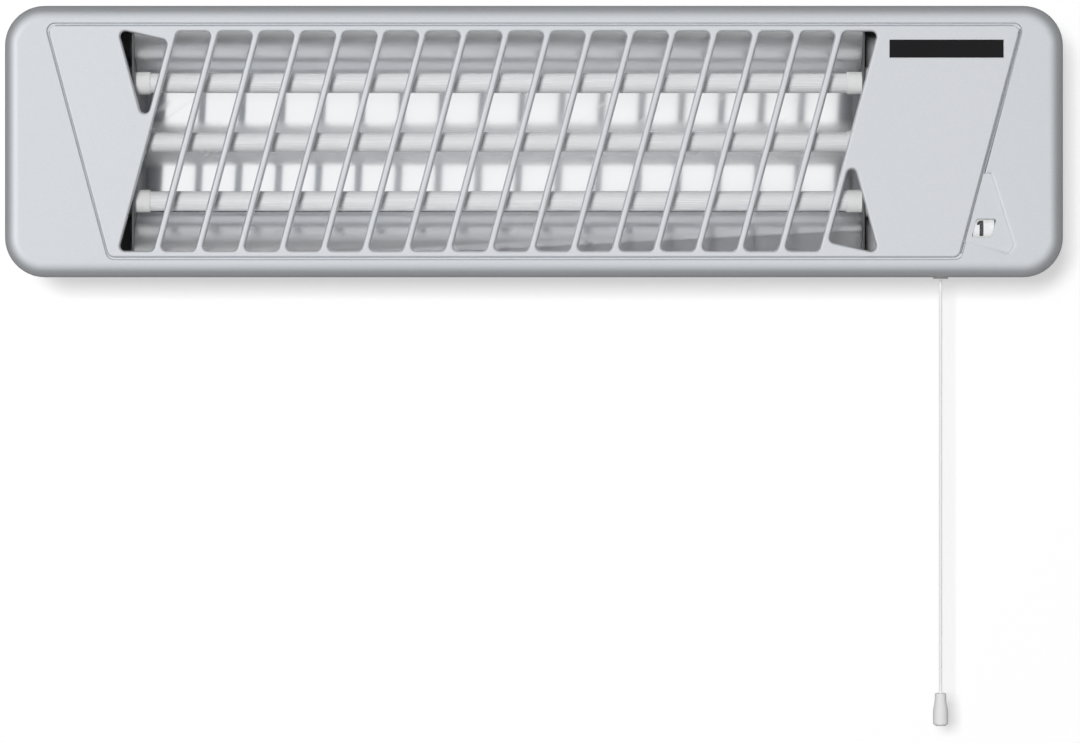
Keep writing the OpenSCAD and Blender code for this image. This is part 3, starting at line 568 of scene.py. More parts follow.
@dataclass(frozen=True)
class MilkyGlass(Finish):
    """Fused quartz drawn with fine bubbles, which scatter the light along the tube."""

    transmission: float = 0.3
    scatter: float = 0.35
    scatter_depth: float = 0.006
    ior: float = 1.46
    bubble_scale: float = 1500.0
    drawn: float = 0.03

    def dress(self, graph: Graph, shader: Node, where: Socket) -> None:
        """Lay drawn-out bubbles and a faint long grain on the glass.

        Args:
            graph: The material's nodes.
            shader: Its Principled shader.
            where: The object's coordinates.
        """
        along = graph.stretched(where, (self.drawn, 1.0, 1.0))
        bubbles = graph.span(graph.noise(along, self.bubble_scale, detail=3.0), 0.35, 0.7, 0.0, 1.0)
        graph.fill(shader, {"Transmission Weight": self.transmission, "Subsurface Weight": self.scatter,
                            "Subsurface Radius": (1.0, 1.0, 1.0), "Subsurface Scale": self.scatter_depth,
                            "IOR": self.ior, "Roughness": self.rough(graph, bubbles),
                            "Base Color": graph.blend(bubbles, rgba(self.colour), rgba(self.second))})
        graph.raise_by(shader, bubbles, self.grain_height)


@dataclass(frozen=True)
class ClearPane(Finish):
    """Clear moulded window plastic."""

    alpha: float = 0.045
    scuff_scale: float = 600.0

    def dress(self, graph: Graph, shader: Node, where: Socket) -> None:
        """Give the pane a little moulding flow and a few scuffs.

        Args:
            graph: The material's nodes.
            shader: Its Principled shader.
            where: The object's coordinates.
        """
        tone, drift = self.tones(graph, where)
        rough = self.scuffed(graph, where, self.rough(graph, drift))
        graph.fill(shader, {"Alpha": self.alpha, "Base Color": tone, "Roughness": rough})
        graph.raise_by(shader, drift, self.grain_height)


@dataclass(frozen=True)
class FiredCeramic(Finish):
    """Unglazed steatite with fine dark specks."""

    speck: Colour = (0.55, 0.5, 0.42)
    speck_scale: float = 700.0
    speck_share: float = 0.55

    def dress(self, graph: Graph, shader: Node, where: Socket) -> None:
        """Lay specks and a pressed, slightly chalky skin on the ceramic.

        Args:
            graph: The material's nodes.
            shader: Its Principled shader.
            where: The object's coordinates.
        """
        tone, drift = self.tones(graph, where)
        cells = graph.add("ShaderNodeTexVoronoi", {"Vector": where, "Scale": self.speck_scale})
        specks = graph.span(cells.outputs["Distance"], 0.05, 0.16, self.speck_share, 0.0)
        graph.fill(shader, {"Base Color": graph.blend(specks, tone, rgba(self.speck)),
                            "Roughness": self.rough(graph, drift)})
        self.grain(graph, shader, where)


@dataclass(frozen=True)
class BraidedCord(Finish):
    """Braided white cord: two sets of yarns that cross round it."""

    middle: tuple[float, float] = (0.0, 0.0)
    turns: float = 6.0
    pitch: float = 0.0028
    yarn_height: float = 0.00004
    fuzz_scale: float = 5000.0
    sheen: float = 0.25
    sheen_roughness: float = 0.5

    def dress(self, graph: Graph, shader: Node, where: Socket) -> None:
        """Lay crossing yarns round the cord, with painted shade in the grooves between them.

        Args:
            graph: The material's nodes.
            shader: Its Principled shader.
            where: The object's coordinates.
        """
        place = graph.add("ShaderNodeSeparateXYZ", {0: where}).outputs
        side = graph.maths("SUBTRACT", place[0], self.middle[0])
        out = graph.maths("SUBTRACT", place[1], self.middle[1])
        round_about = graph.maths("MULTIPLY", graph.maths("ARCTAN2", out, side), self.turns)
        along = graph.maths("MULTIPLY", place[2], 2 * math.pi / self.pitch)
        first = graph.maths("SINE", graph.maths("ADD", round_about, along))
        second = graph.maths("SINE", graph.maths("SUBTRACT", round_about, along))
        yarn = graph.maths("MAXIMUM", first, second)
        # Painted shade: the grooves between the yarns take the darker second colour
        shade = graph.span(yarn, -0.2, 0.9, 0.0, 1.0)
        fuzz = graph.noise(where, self.fuzz_scale, detail=2.0)
        graph.fill(shader, {"Sheen Weight": self.sheen, "Sheen Roughness": self.sheen_roughness,
                            "Base Color": graph.blend(shade, rgba(self.second), rgba(self.colour)),
                            "Roughness": self.rough(graph, fuzz, 0.3, 0.7)})
        graph.raise_by(shader, yarn, self.yarn_height)


# The front face, and the free cord's place, upper end, length and thickness
FRONT_Y = -0.095
CORD_X = 0.2056
CORD_Y = -0.06276
CORD_EXIT_Z = -0.0693
CORD_LENGTH = 0.209
CORD_D = 0.0016

SILVER_PAINT = FlakePaint(
    "silver_paint", (0.665, 0.688, 0.722), (0.682, 0.704, 0.735), roughness=0.38, metallic=0.58,
    cloud_scale=5.0, grain_scale=700.0, grain_height=0.000008, coat=0.12, coat_roughness=0.3, dust=0.12)
SILVER_PLATE = replace(
    SILVER_PAINT, slot="silver_plate", colour=(0.675, 0.695, 0.726), second=(0.692, 0.71, 0.74),
    roughness=0.36, dust=0.0)
# Painted shade: a dark grey laid in the gap along the plate's right end; it is neither ink nor bare metal
SEAM_SHADE_PAINT = Finish(
    "silver_paint_ink", (0.25, 0.255, 0.265), (0.27, 0.275, 0.285), roughness=0.8, cloud_scale=90.0,
    grain_height=0.000008)
BLACK_PLATE = Finish(
    "black_plate", (0.006, 0.006, 0.007), (0.01, 0.01, 0.011), roughness=0.22, rough_drift=0.04,
    grain_scale=500.0, grain_height=0.000006, specular=0.12)
POLISHED = BrightSheet(
    "polished_reflector", (0.88, 0.89, 0.905), (0.92, 0.925, 0.935), roughness=0.11, metallic=1.0,
    rough_drift=0.03, cloud_scale=9.0, line_height=0.000004, dull_from=0.0341, dulled=0.2, ridge=0.16)
DULL_END = BrightSheet(
    "dull_end", (0.16, 0.165, 0.175), (0.11, 0.112, 0.12), roughness=0.5, metallic=0.6, rough_drift=0.08,
    cloud_scale=40.0, line_scale=500.0)
QUARTZ = MilkyGlass(
    "quartz", (0.74, 0.745, 0.76), (0.77, 0.775, 0.785), roughness=0.26, rough_drift=0.04,
    grain_height=0.000004, transmission=0.06, scatter=0.2, scatter_depth=0.0008)
COIL_WIRE = PlatedMetal(
    "coil_wire", (0.30, 0.28, 0.27), (0.38, 0.35, 0.33), roughness=0.5, metallic=0.8, cloud_scale=120.0,
    worn=(0.45, 0.42, 0.4))
CERAMIC = FiredCeramic(
    "ceramic", (0.76, 0.765, 0.76), (0.71, 0.71, 0.7), roughness=0.62, cloud_scale=60.0,
    grain_scale=1600.0, grain_height=0.00004)
ZINC = PlatedMetal(
    "zinc", (0.56, 0.575, 0.60), (0.66, 0.665, 0.67), roughness=0.3, metallic=1.0, rough_drift=0.08,
    cloud_scale=90.0, grain_scale=1400.0, grain_height=0.00001, worn=(0.75, 0.75, 0.76), dust=0.1)
BRASS = PlatedMetal(
    "brass", (0.70, 0.54, 0.26), (0.62, 0.45, 0.2), roughness=0.28, metallic=1.0, rough_drift=0.08,
    cloud_scale=120.0, grain_scale=1600.0, grain_height=0.00001, worn=(0.85, 0.72, 0.42))
REAR_PAINT = FlakePaint(
    "rear_paint", (0.60, 0.61, 0.625), (0.64, 0.65, 0.66), roughness=0.5, metallic=0.1, cloud_scale=8.0,
    grain_scale=520.0, grain_height=0.00003, flake_amount=0.03, dust=0.35)
NYLON = Finish(
    "white_nylon", (0.80, 0.79, 0.74), (0.84, 0.83, 0.79), roughness=0.45, cloud_scale=40.0,
    grain_scale=1200.0)
WHITE_PLASTIC = Finish(
    "white_plastic", (0.95, 0.955, 0.955), (0.97, 0.97, 0.97), roughness=0.3, rough_drift=0.05,
    cloud_scale=50.0, grain_height=0.000008, coat=0.2)
# The drum's white plastic again, matt, with a darker grey that is painted shade
SHADED_KNOB_PLASTIC = replace(
    WHITE_PLASTIC, slot="white_plastic_knob", colour=(0.82, 0.82, 0.82), second=(0.84, 0.84, 0.84),
    roughness=0.5, coat=0.0, specular=0.25)
RUBBER = Finish(
    "black_rubber", (0.025, 0.025, 0.026), (0.04, 0.04, 0.04), roughness=0.7, cloud_scale=60.0,
    grain_scale=1500.0, grain_height=0.00003, dust=0.3)
PHENOLIC = Finish(
    "dark_plastic", (0.05, 0.04, 0.035), (0.075, 0.06, 0.05), cloud_scale=90.0, grain_scale=1400.0)
CLEAR = ClearPane(
    "clear_window", (0.62, 0.65, 0.66), (0.68, 0.70, 0.71), roughness=0.025, rough_drift=0.015,
    cloud_scale=70.0, grain_height=0.000003, specular=0.15)
CORD_WHITE = BraidedCord(
    "cord_white", (0.98, 0.98, 0.975), (0.93, 0.93, 0.93), roughness=0.8, rough_drift=0.1,
    middle=(CORD_X, CORD_Y))
FIBRE = Finish(
    "fibre", (0.26, 0.13, 0.07), (0.33, 0.18, 0.10), roughness=0.75, cloud_scale=150.0,
    grain_scale=1800.0, grain_height=0.00006)
INK = Finish(
    "white_plastic_ink", (0.008, 0.008, 0.009), (0.014, 0.014, 0.015), roughness=0.5, cloud_scale=300.0,
    grain_scale=3000.0, grain_height=0.000004)

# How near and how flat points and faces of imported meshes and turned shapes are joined
SEAM_GAP = 0.000004
POLE_GAP = 0.000002
FLAT_ANGLE = math.radians(0.4)
FLAT_WEIGHT = 80


@dataclass(frozen=True)
class Softening:
    """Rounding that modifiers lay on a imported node's edges; a width of 0 leaves them sharp."""

    width: float
    segments: int = 2
    angle: float = 35.0


Parts = tuple[tuple[str, Finish, Softening], ...]


def linked(name: str, data: bpy.types.ID) -> bpy.types.Object:
    """Make an object and link it to the scene.

    Args:
        name: The object's name.
        data: Its mesh, curve, light or camera.

    Returns:
        The object.
    """
    made = bpy.data.objects.new(name, data)
    bpy.context.scene.collection.objects.link(made)
    return made


class Workshop:
    """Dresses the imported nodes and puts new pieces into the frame."""

    def __init__(self, frame: dict) -> None:
        """Keep the frame.
        """
        self.nodes: dict[str, bpy.types.Object] = frame["nodes"]

    def dress(self, parts: Parts) -> None:
        """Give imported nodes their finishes, and round their edges without touching their meshes.

        Args:
            parts: Each node's name, its finish and its softening.
        """
        for node, finish, soft in parts:
            piece = self.nodes[node]
            piece.data.materials.clear()
            piece.data.materials.append(finish.material())
            piece.data.polygons.foreach_set("use_smooth", [True] * len(piece.data.polygons))
            self.soften(piece, soft)
            self.even(piece)
            LOG.info("%s dressed as %s", node, finish.slot)

    @staticmethod
    def soften(piece: bpy.types.Object, soft: Softening) -> None:
        """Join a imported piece's seams and flats, and round its edges.

        Args:
            piece: The piece.
            soft: How its edges are rounded.
        """
        weld = piece.modifiers.new("join seams", "WELD")
        weld.merge_threshold = SEAM_GAP
        join = piece.modifiers.new("join flats", "DECIMATE")
        join.decimate_type = "DISSOLVE"
        join.angle_limit = FLAT_ANGLE
        if soft.width > 0:
            bevel = piece.modifiers.new("round edges", "BEVEL")
            bevel.width = soft.width
            bevel.segments = soft.segments
            bevel.limit_method = "ANGLE"
            bevel.angle_limit = math.radians(soft.angle)
            bevel.use_clamp_overlap = False
            bevel.miter_outer = "MITER_ARC"
            bevel.harden_normals = False

    def merged(self, node: str) -> bmesh.types.BMesh:
        """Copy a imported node's mesh, with its seams joined and its flats whole.

        Args:
            node: The node's name.

        Returns:
            The copy.
        """
        mesh = bmesh.new()
        mesh.from_mesh(self.nodes[node].data)
        bmesh.ops.remove_doubles(mesh, verts=mesh.verts, dist=SEAM_GAP)
        bmesh.ops.dissolve_limit(mesh, angle_limit=FLAT_ANGLE, verts=mesh.verts, edges=mesh.edges,
                                 use_dissolve_boundaries=False)
        return mesh

    @staticmethod
    def even(piece: bpy.types.Object) -> None:
        """Keep a piece's flats evenly shaded up to its rounded edges.

        Args:
            piece: The piece.
        """
        normals = piece.modifiers.new("even flats", "WEIGHTED_NORMAL")
        normals.keep_sharp = True
        normals.weight = FLAT_WEIGHT

    def place(self, name: str, mesh: bmesh.types.BMesh, finish: Finish, body: Body,
              replaces: Sequence[str] = (), sharp: float = 40.0) -> bpy.types.Object:
        """Put a new piece into the frame.

        Args:
            name: The piece's name.
            mesh: Its shape, which is freed.
            finish: Its finish.
            body: The body that it rides on.
            replaces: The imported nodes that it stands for.
            sharp: The angle in degrees past which its edges shade sharp.

        Returns:
            The piece's object.
        """
        data = bpy.data.meshes.new(name)
        for face in mesh.faces:
            face.smooth = True
        for edge in mesh.edges:
            edge.smooth = len(edge.link_faces) == 2 and edge.calc_face_angle(0.0) < math.radians(sharp)
        mesh.to_mesh(data)
        mesh.free()
        piece = linked(name, data)
        data.materials.append(finish.material())
        self.seat(piece, finish, body, replaces)
        LOG.info("%s made, %d faces", name, len(data.polygons))
        return piece

    @staticmethod
    def seat(piece: bpy.types.Object, finish: Finish, body: Body, replaces: Sequence[str]) -> None:
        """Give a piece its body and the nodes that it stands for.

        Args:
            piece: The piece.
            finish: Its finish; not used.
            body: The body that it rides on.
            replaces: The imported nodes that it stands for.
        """
        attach(piece, body.value)
        if replaces:
            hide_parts(*replaces)


def turned_profile(points: Sequence[tuple[float, float]], middle: Vector, axis: Vector,
                   steps: int) -> bmesh.types.BMesh:
    """Turn a profile about an axis.

    Args:
        points: Radius and place along the axis, from one pole to the other.
        middle: The axis's start.
        axis: The axis's direction.
        steps: The number of steps round.

    Returns:
        The closed shape.
    """
    mesh = bmesh.new()
    axis = axis.normalized()
    out = axis.orthogonal().normalized()
    verts = [mesh.verts.new(middle + out * r + axis * z) for r, z in points]
    edges = [mesh.edges.new(pair) for pair in zip(verts, verts[1:])]
    bmesh.ops.spin(mesh, geom=verts + edges, cent=middle, axis=axis, angle=2 * math.pi, steps=steps,
                   use_merge=True)
    bmesh.ops.remove_doubles(mesh, verts=mesh.verts, dist=POLE_GAP)
    bmesh.ops.recalc_face_normals(mesh, faces=mesh.faces)
    return mesh


def whole(mesh: bmesh.types.BMesh) -> list:
    """Return every vertex, edge and face of a mesh."""
    return list(mesh.verts) + list(mesh.edges) + list(mesh.faces)


def thicken(mesh: bmesh.types.BMesh, thickness: float) -> None:
    """Give a mesh of loose faces a thickness, its faces outwards."""
    bmesh.ops.solidify(mesh, geom=whole(mesh), thickness=thickness)
    bmesh.ops.recalc_face_normals(mesh, faces=mesh.faces)


def round_off(mesh: bmesh.types.BMesh, edges: Sequence[bmesh.types.BMEdge], width: float, steps: int) -> None:
    """Round or slope a mesh's edges.

    Args:
        mesh: The mesh.
        edges: Its edges, of which an earlier rounding may have taken some.
        width: How far the rounding reaches from an edge.
        steps: Its steps; one makes a slope.
    """
    bmesh.ops.bevel(mesh, geom=[edge for edge in edges if edge.is_valid], offset=width, offset_type="OFFSET",
                    segments=steps, profile=0.5, affect="EDGES", clamp_overlap=False, material=-1)


def folded(mesh: bmesh.types.BMesh, bend: float) -> list[bmesh.types.BMEdge]:
    """Return the edges at which a mesh bends by more than an angle in radians."""
    return [edge for edge in mesh.edges if len(edge.link_faces) == 2 and edge.calc_face_angle(0.0) > bend]


@dataclass
class Cord:
    """The pull cord: its inner stretch, its knot and its free stretch."""

    x: float = CORD_X
    y: float = CORD_Y
    exit_z: float = CORD_EXIT_Z
    length: float = CORD_LENGTH
    diameter: float = CORD_D
    inner_top: float = -0.0284
    inner_foot: float = -0.0688
    inner_points: int = 15
    knot_z: float = -0.0311
    knot_r: float = 0.0026
    knot_lump: float = 0.045
    knot_twist: float = 2.4
    points: int = 24

    def strand(self, name: str, top: float, foot: float, count: int) -> bpy.types.Object:
        """Make a straight stretch as a curve.

        Args:
            name: The piece's name.
            top: Height of its upper end.
            foot: Height of its lower end.
            count: The number of points.

        Returns:
            The curve's object.
        """
        curve = bpy.data.curves.new(name, "CURVE")
        curve.dimensions = "3D"
        curve.bevel_depth = self.diameter / 2
        curve.bevel_resolution = 4
        curve.use_fill_caps = True
        spline = curve.splines.new("POLY")
        spline.points.add(count - 1)
        for index, point in enumerate(spline.points):
            point.co = (self.x, self.y, top + (foot - top) * index / (count - 1), 1.0)
        curve.materials.append(CORD_WHITE.material())
        return linked(name, curve)

    def knot(self, shop: Workshop) -> None:
        """Make the overhand knot as a lumpy bead of crossing turns.

        Args:
            shop: Where it is put into the frame.
        """
        mesh = bmesh.new()
        bmesh.ops.create_uvsphere(mesh, u_segments=32, v_segments=20, radius=self.knot_r)
        for vert in mesh.verts:
            around = math.atan2(vert.co.y, vert.co.x)
            lump = math.sin(2 * around + vert.co.z / self.knot_r * self.knot_twist)
            vert.co *= 0.95 + self.knot_lump * lump
        bmesh.ops.translate(mesh, verts=mesh.verts, vec=(self.x, self.y, self.knot_z))
        shop.place("cord_knot_turns", mesh, CORD_WHITE, Body.CORD_SLIDE, ("cord_knot",))

    def build(self, shop: Workshop, knob: bpy.types.Object) -> None:
        """Make the cord's inner stretch, its knot and its free stretch.

        Args:
            shop: Where the pieces are put into the frame.
            knob: The knob on the cord's end; not used.
        """
        inner = self.strand("inner_cord_braid", self.inner_top, self.inner_foot, self.inner_points)
        shop.seat(inner, CORD_WHITE, Body.CORD_SLIDE, ("inner_cord",))
        self.knot(shop)
        free = self.strand("pull_cord_braid", self.exit_z, self.exit_z - self.length, self.points)
        shop.seat(free, CORD_WHITE, Body.CORD_HANG, ("pull_cord",))
        LOG.info("cord made")


@dataclass
class Knob:
    """The bell-shaped pull knob."""

    x: float = CORD_X
    y: float = CORD_Y
    top: float = CORD_EXIT_Z - CORD_LENGTH
    height: float = 0.0165
    neck_r: float = 0.0029
    skirt_r: float = 0.0038
    # Where the bell's flare and its rounded foot begin, and how long they are, as shares of the height
    flare: tuple[float, float] = (0.18, 0.42)
    foot_span: tuple[float, float] = (0.91, 0.09)
    foot_round: float = 0.55
    steps: int = 28
    around: int = 64

    def radius(self, share: float) -> float:
        """Work out the knob's radius at a share of its height.

        Args:
            share: The share, from the top.

        Returns:
            The radius.
        """
        rise = min(max((share - self.flare[0]) / self.flare[1], 0.0), 1.0)
        radius = self.neck_r + (self.skirt_r - self.neck_r) * rise * rise * (3 - 2 * rise)
        foot = max(0.0, (share - self.foot_span[0]) / self.foot_span[1])
        return radius * math.sqrt(1 - self.foot_round * foot * foot)

    def build(self, shop: Workshop) -> bpy.types.Object:
        """Make the knob with a hollow foot that hides the cord's end.

        Args:
            shop: Where it is put into the frame.

        Returns:
            The knob's object.
        """
        shares = [index / self.steps for index in range(self.steps + 1)]
        shoulder = [(0.0, 0.0), (self.neck_r * 0.72, 0.0), (self.neck_r * 0.93, 0.00012)]
        outside = [(self.radius(s), s * self.height) for s in shares if s > 0.03]
        foot_r = self.radius(1.0)
        hollow = [(foot_r * 0.8, self.height), (foot_r * 0.66, self.height * 0.97),
                  (foot_r * 0.6, self.height * 0.86), (0.0, self.height * 0.84)]
        middle = Vector((self.x, self.y, self.top))
        mesh = turned_profile(shoulder + outside + hollow, middle, Vector((0, 0, -1)), self.around)
        return shop.place("pull_knob_bell", mesh, SHADED_KNOB_PLASTIC, Body.CORD_HANG, ("pull_knob",), sharp=50.0)


@dataclass
class PanScrews:
    """A set of pan-head screws with cross recesses, standing for one node's group."""

    name: str
    node: str
    places: Sequence[tuple[float, float, float]]
    axis: tuple[float, float, float]
    head_r: float
    head_h: float
    shank_r: float
    shank_len: float
    finish: Finish = ZINC
    rim_share: float = 0.35
    cross_half: float = 0.13
    cross_reach: float = 0.55
    cross_floor: float = 0.3
    first_turn: float = 0.5
    next_turn: float = 1.1

    def head(self) -> bmesh.types.BMesh:
        """Make one screw on the Z axis, its head from 0 upwards and its shank below.

        Returns:
            The screw.
        """
        rim_h = self.head_h * self.rim_share
        rim = [(self.shank_r, -self.shank_len + self.shank_r * 0.5), (self.shank_r, 0.0),
               (self.head_r * 0.97, 0.0), (self.head_r, self.head_h * 0.12), (self.head_r, rim_h)]
        crown = [(self.head_r * math.cos(a), rim_h + (self.head_h - rim_h) * math.sin(a))
                 for a in map(math.radians, (20, 35, 50, 62, 72, 80, 86))]
        points = [(0.0, -self.shank_len)] + rim + crown + [(0.0, self.head_h)]
        mesh = turned_profile(points, Vector(), Vector((0, 0, 1)), 32)
        self.cut_cross(mesh)
        return mesh

    def cut_cross(self, mesh: bmesh.types.BMesh) -> None:
        """Sink a cross into the head's crown.

        Args:
            mesh: The screw.
        """
        half = self.head_r * self.cross_half
        reach = self.head_r * self.cross_reach
        for plane in (Vector((1, 0, 0)), Vector((0, 1, 0))):
            for offset in (-reach, -half, half, reach):
                bmesh.ops.bisect_plane(mesh, geom=whole(mesh), dist=0.0000005, plane_co=plane * offset,
                                       plane_no=plane)
        inside = [face for face in mesh.faces if face.normal.z > 0.3 and self.in_cross(face, half, reach)]
        sunk = bmesh.ops.extrude_face_region(mesh, geom=inside)
        verts = [g for g in sunk["geom"] if isinstance(g, bmesh.types.BMVert)]
        bmesh.ops.delete(mesh, geom=inside, context="FACES_ONLY")
        for vert in verts:
            vert.co.z = self.head_h * self.cross_floor
        bmesh.ops.recalc_face_normals(mesh, faces=mesh.faces)

    @staticmethod
    def in_cross(face: bmesh.types.BMFace, half: float, reach: float) -> bool:
        """Say whether a face of the crown lies in the cross.

        Args:
            face: The face.
            half: Half the width of the cross's arms.
            reach: The arms' length from the middle.

        Returns:
            Whether it does.
        """
        middle = face.calc_center_median()
        x, y = abs(middle.x), abs(middle.y)
        return middle.z > 0 and ((x < half and y < reach) or (y < half and x < reach))

    def build(self, shop: Workshop, body: Body) -> None:
        """Make the set.

        Args:
            shop: Where it is put into the frame.
            body: The body that it rides on.
        """
        turn = Vector((0, 0, 1)).rotation_difference(Vector(self.axis)).to_matrix().to_4x4()
        joined = bmesh.new()
        for index, place in enumerate(self.places):
            one = self.head()
            spin = Matrix.Rotation(self.first_turn + self.next_turn * index, 4, "Z")
            one.transform(Matrix.Translation(Vector(place)) @ turn @ spin)
            data = bpy.data.meshes.new("one_screw")
            one.to_mesh(data)
            one.free()
            joined.from_mesh(data)
            bpy.data.meshes.remove(data)
        shop.place(self.name, joined, self.finish, body, (self.node,), sharp=35.0)


@dataclass
class FrontShell:
    """The housing, the slotted plate in its front, the plate's clips and the blank badge."""

    front_y: float = FRONT_Y
    half_top_w: float = 0.2438
    half_h: float = 0.0582
    lean: float = 0.26795
    bend: float = 0.7
    slot_round: float = 0.0014
    slot_depth: float = 0.0002
    rim_round: float = 0.0012
    # The plate's rim, across its slanted ends and up its long edges
    rim_band: tuple[float, float] = (0.0012, 0.0006)
    seam_round: float = 0.0004
    seam_depth: float = 0.0019
    seam_band: float = 0.0025
    # The slope's width and its depth
    recess_slope: tuple[float, float] = (0.0017, 0.0007)
    # The left, lower, right and upper sides of the rectangle round the recess
    recess: tuple[float, float, float, float] = (0.2105, -0.0575, 0.2410, -0.0150)
    level_gap: float = 0.00003
    strip: float = 0.00003
    # Each painted-shade strip's top, foot, left and right sides from the plate's end, and depth behind the
    # front
    shaded: tuple[tuple[float, ...], ...] = ((0.0562, -0.0160, -0.0016, 0.0011, 0.00176),
                                             (-0.0160, -0.0503, 0.0002, 0.0009, 0.00256),
                                             (-0.0503, -0.0562, -0.0016, 0.0006, 0.00176))
    parts: Parts = (("grille_clips", ZINC, Softening(0.0001, 1, 40.0)),
                    ("name_plate", BLACK_PLATE, Softening(0.00018, 3, 40.0)))

    def reach(self, level: float) -> float:
        """Return how far from the middle the plate's slanted end lies at a height."""
        return self.half_top_w - (self.half_h - level) * self.lean

    def before(self, edge: bmesh.types.BMEdge, depth: float) -> bool:
        """Return whether an edge lies less than a depth behind the front face."""
        return max(vert.co.y for vert in edge.verts) < self.front_y + depth

    def near_recess(self, point: Vector) -> bool:
        """Return whether a point lies in the rectangle round the window's recess."""
        return self.recess[0] < point.x < self.recess[2] and self.recess[1] < point.z < self.recess[3]

    def in_recess(self, edge: bmesh.types.BMEdge) -> bool:
        """Return whether an edge is one of the front edges of the recess round the window."""
        return self.before(edge, self.level_gap) and all(self.near_recess(vert.co) for vert in edge.verts)

    def on_seam(self, edge: bmesh.types.BMEdge) -> bool:
        """Return whether an edge lies along the slanted seam of the plate's right end."""
        return all(abs(vert.co.x - self.reach(vert.co.z)) < self.seam_band for vert in edge.verts)

    def on_rim(self, point: Vector) -> bool:
        """Return whether a point lies on the plate's outer edge."""
        across, up = self.rim_band
        return abs(point.z) > self.half_h - up or abs(point.x) > self.reach(point.z) - across

    def housing(self, shop: Workshop) -> None:
        """Make the housing again with the window's recess drawn in by a wide shallow slope.

        Args:
            shop: Where the node is.
        """
        mesh = shop.merged("front_housing")
        width, depth = self.recess_slope
        bent = folded(mesh, self.bend)
        recess = [edge for edge in bent if self.in_recess(edge) and not self.on_seam(edge)]
        rest = [edge for edge in bent if edge not in recess and self.before(edge, self.seam_depth)]
        round_off(mesh, recess, width, 1)
        round_off(mesh, rest, self.seam_round, 3)
        raised = [vert for vert in mesh.verts if self.near_recess(vert.co)
                  and abs(vert.co.y - self.front_y - width) < self.level_gap]
        for vert in raised:
            vert.co.y = self.front_y + depth
        bmesh.ops.triangulate(mesh, faces=list({face for vert in raised for face in vert.link_faces}))
        mesh.normal_update()
        shop.even(shop.place("housing_shell", mesh, SILVER_PAINT, Body.HEATER, ("front_housing",)))

    def grille(self, shop: Workshop) -> None:
        """Make the slotted plate again with pressed, rounded slot edges.

        Args:
            shop: Where the node is.
        """
        mesh = shop.merged("front_grille")
        front = [edge for edge in folded(mesh, self.bend) if self.before(edge, self.slot_depth)]
        rim = [edge for edge in front if all(self.on_rim(vert.co) for vert in edge.verts)]
        slots = [edge for edge in front if not any(self.on_rim(vert.co) for vert in edge.verts)]
        round_off(mesh, slots, self.slot_round, 4)
        round_off(mesh, rim, self.rim_round, 3)
        shop.even(shop.place("slotted_plate", mesh, SILVER_PLATE, Body.HEATER, ("front_grille",)))

    def seam_shade(self, shop: Workshop) -> None:
        """Lay dark strips of painted shade on the floors of the pocket and the recess, along the plate's
        right end.

        Args:
            shop: Where they are put into the frame.
        """
        mesh = bmesh.new()
        for top, foot, left, right, depth in self.shaded:
            corners = ((top, left), (foot, left), (foot, right), (top, right))
            mesh.faces.new([mesh.verts.new((self.reach(level) + side, self.front_y + depth, level))
                            for level, side in corners])
        mesh.normal_update()
        thicken(mesh, self.strip)
        shop.place("seam_shade", mesh, SEAM_SHADE_PAINT, Body.HEATER)

    def build(self, shop: Workshop) -> None:
        """Make the front's pieces again and dress its nodes.

        Args:
            shop: Where the nodes are.
        """
        self.housing(shop)
        self.grille(shop)
        self.seam_shade(shop)
        shop.dress(self.parts)


@dataclass
class Heating:
    """The reflector and the three tubes with their coils, caps and terminals."""

    y: float = FRONT_Y + 0.01898
    pitch: float = 0.02965
    coil_r: float = 0.0028
    wire_r: float = 0.00022
    wire_sides: int = 5
    turns: int = 96
    per_turn: int = 12
    trough: Parts = (("reflector", POLISHED, Softening(0.0)),
                     ("reflector_end_left", DULL_END, Softening(0.00015, 1)),
                     ("reflector_end_right", DULL_END, Softening(0.00015, 1)),
                     ("ceramic_caps_left", CERAMIC, Softening(0.0004, 3)),
                     ("ceramic_caps_right", CERAMIC, Softening(0.0004, 3)))
    rows: tuple[str, ...] = ("bottom", "middle", "top")
    tube_edge: Softening = Softening(0.0002, 2)
    fittings: Parts = (("tube_terminals", BRASS, Softening(0.0001, 1)),
                       ("thermal_cutout", PHENOLIC, Softening(0.0003, 2)),
                       ("reflector_screws", ZINC, Softening(0.0002, 2)))

    def coil(self, shop: Workshop, name: str, row: int) -> None:
        """Wind one heating coil.

        Args:
            shop: Where it is put into the frame.
            name: The node that it stands for.
            row: -1 for the lowest tube, 1 for the highest.
        """
        low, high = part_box(name)
        long = high.x - low.x - 4 * self.wire_r
        steps = self.per_turn * self.turns
        start = Vector((low.x + 2 * self.wire_r, self.y, row * self.pitch))
        place = Matrix.Translation(start + Vector((0, 0, self.coil_r)))
        mesh = bmesh.new()
        bmesh.ops.create_circle(mesh, segments=self.wire_sides, radius=self.wire_r,
                                matrix=place @ Matrix.Rotation(math.pi / 2, 4, "X"))
        bmesh.ops.spin(mesh, geom=whole(mesh), cent=start, axis=(1, 0, 0), angle=2 * math.pi * self.turns,
                       steps=steps, dvec=(long / steps, 0, 0))
        ends = [edge for edge in mesh.edges if len(edge.link_faces) == 1]
        bmesh.ops.holes_fill(mesh, edges=ends, sides=8)
        bmesh.ops.recalc_face_normals(mesh, faces=mesh.faces)
        shop.place(f"{name}_wire", mesh, COIL_WIRE, Body.HEATER, (name,), sharp=80.0)

    def build(self, shop: Workshop) -> None:
        """Dress the reflector and the tubes, and wind the coils.

        Args:
            shop: Where the nodes are.
        """
        shop.dress(self.trough)
        for row, place in enumerate(self.rows):
            shop.dress(((f"quartz_tube_{place}", QUARTZ, self.tube_edge),))
            self.coil(shop, f"heating_coil_{place}", row - 1)
        shop.dress(self.fittings)


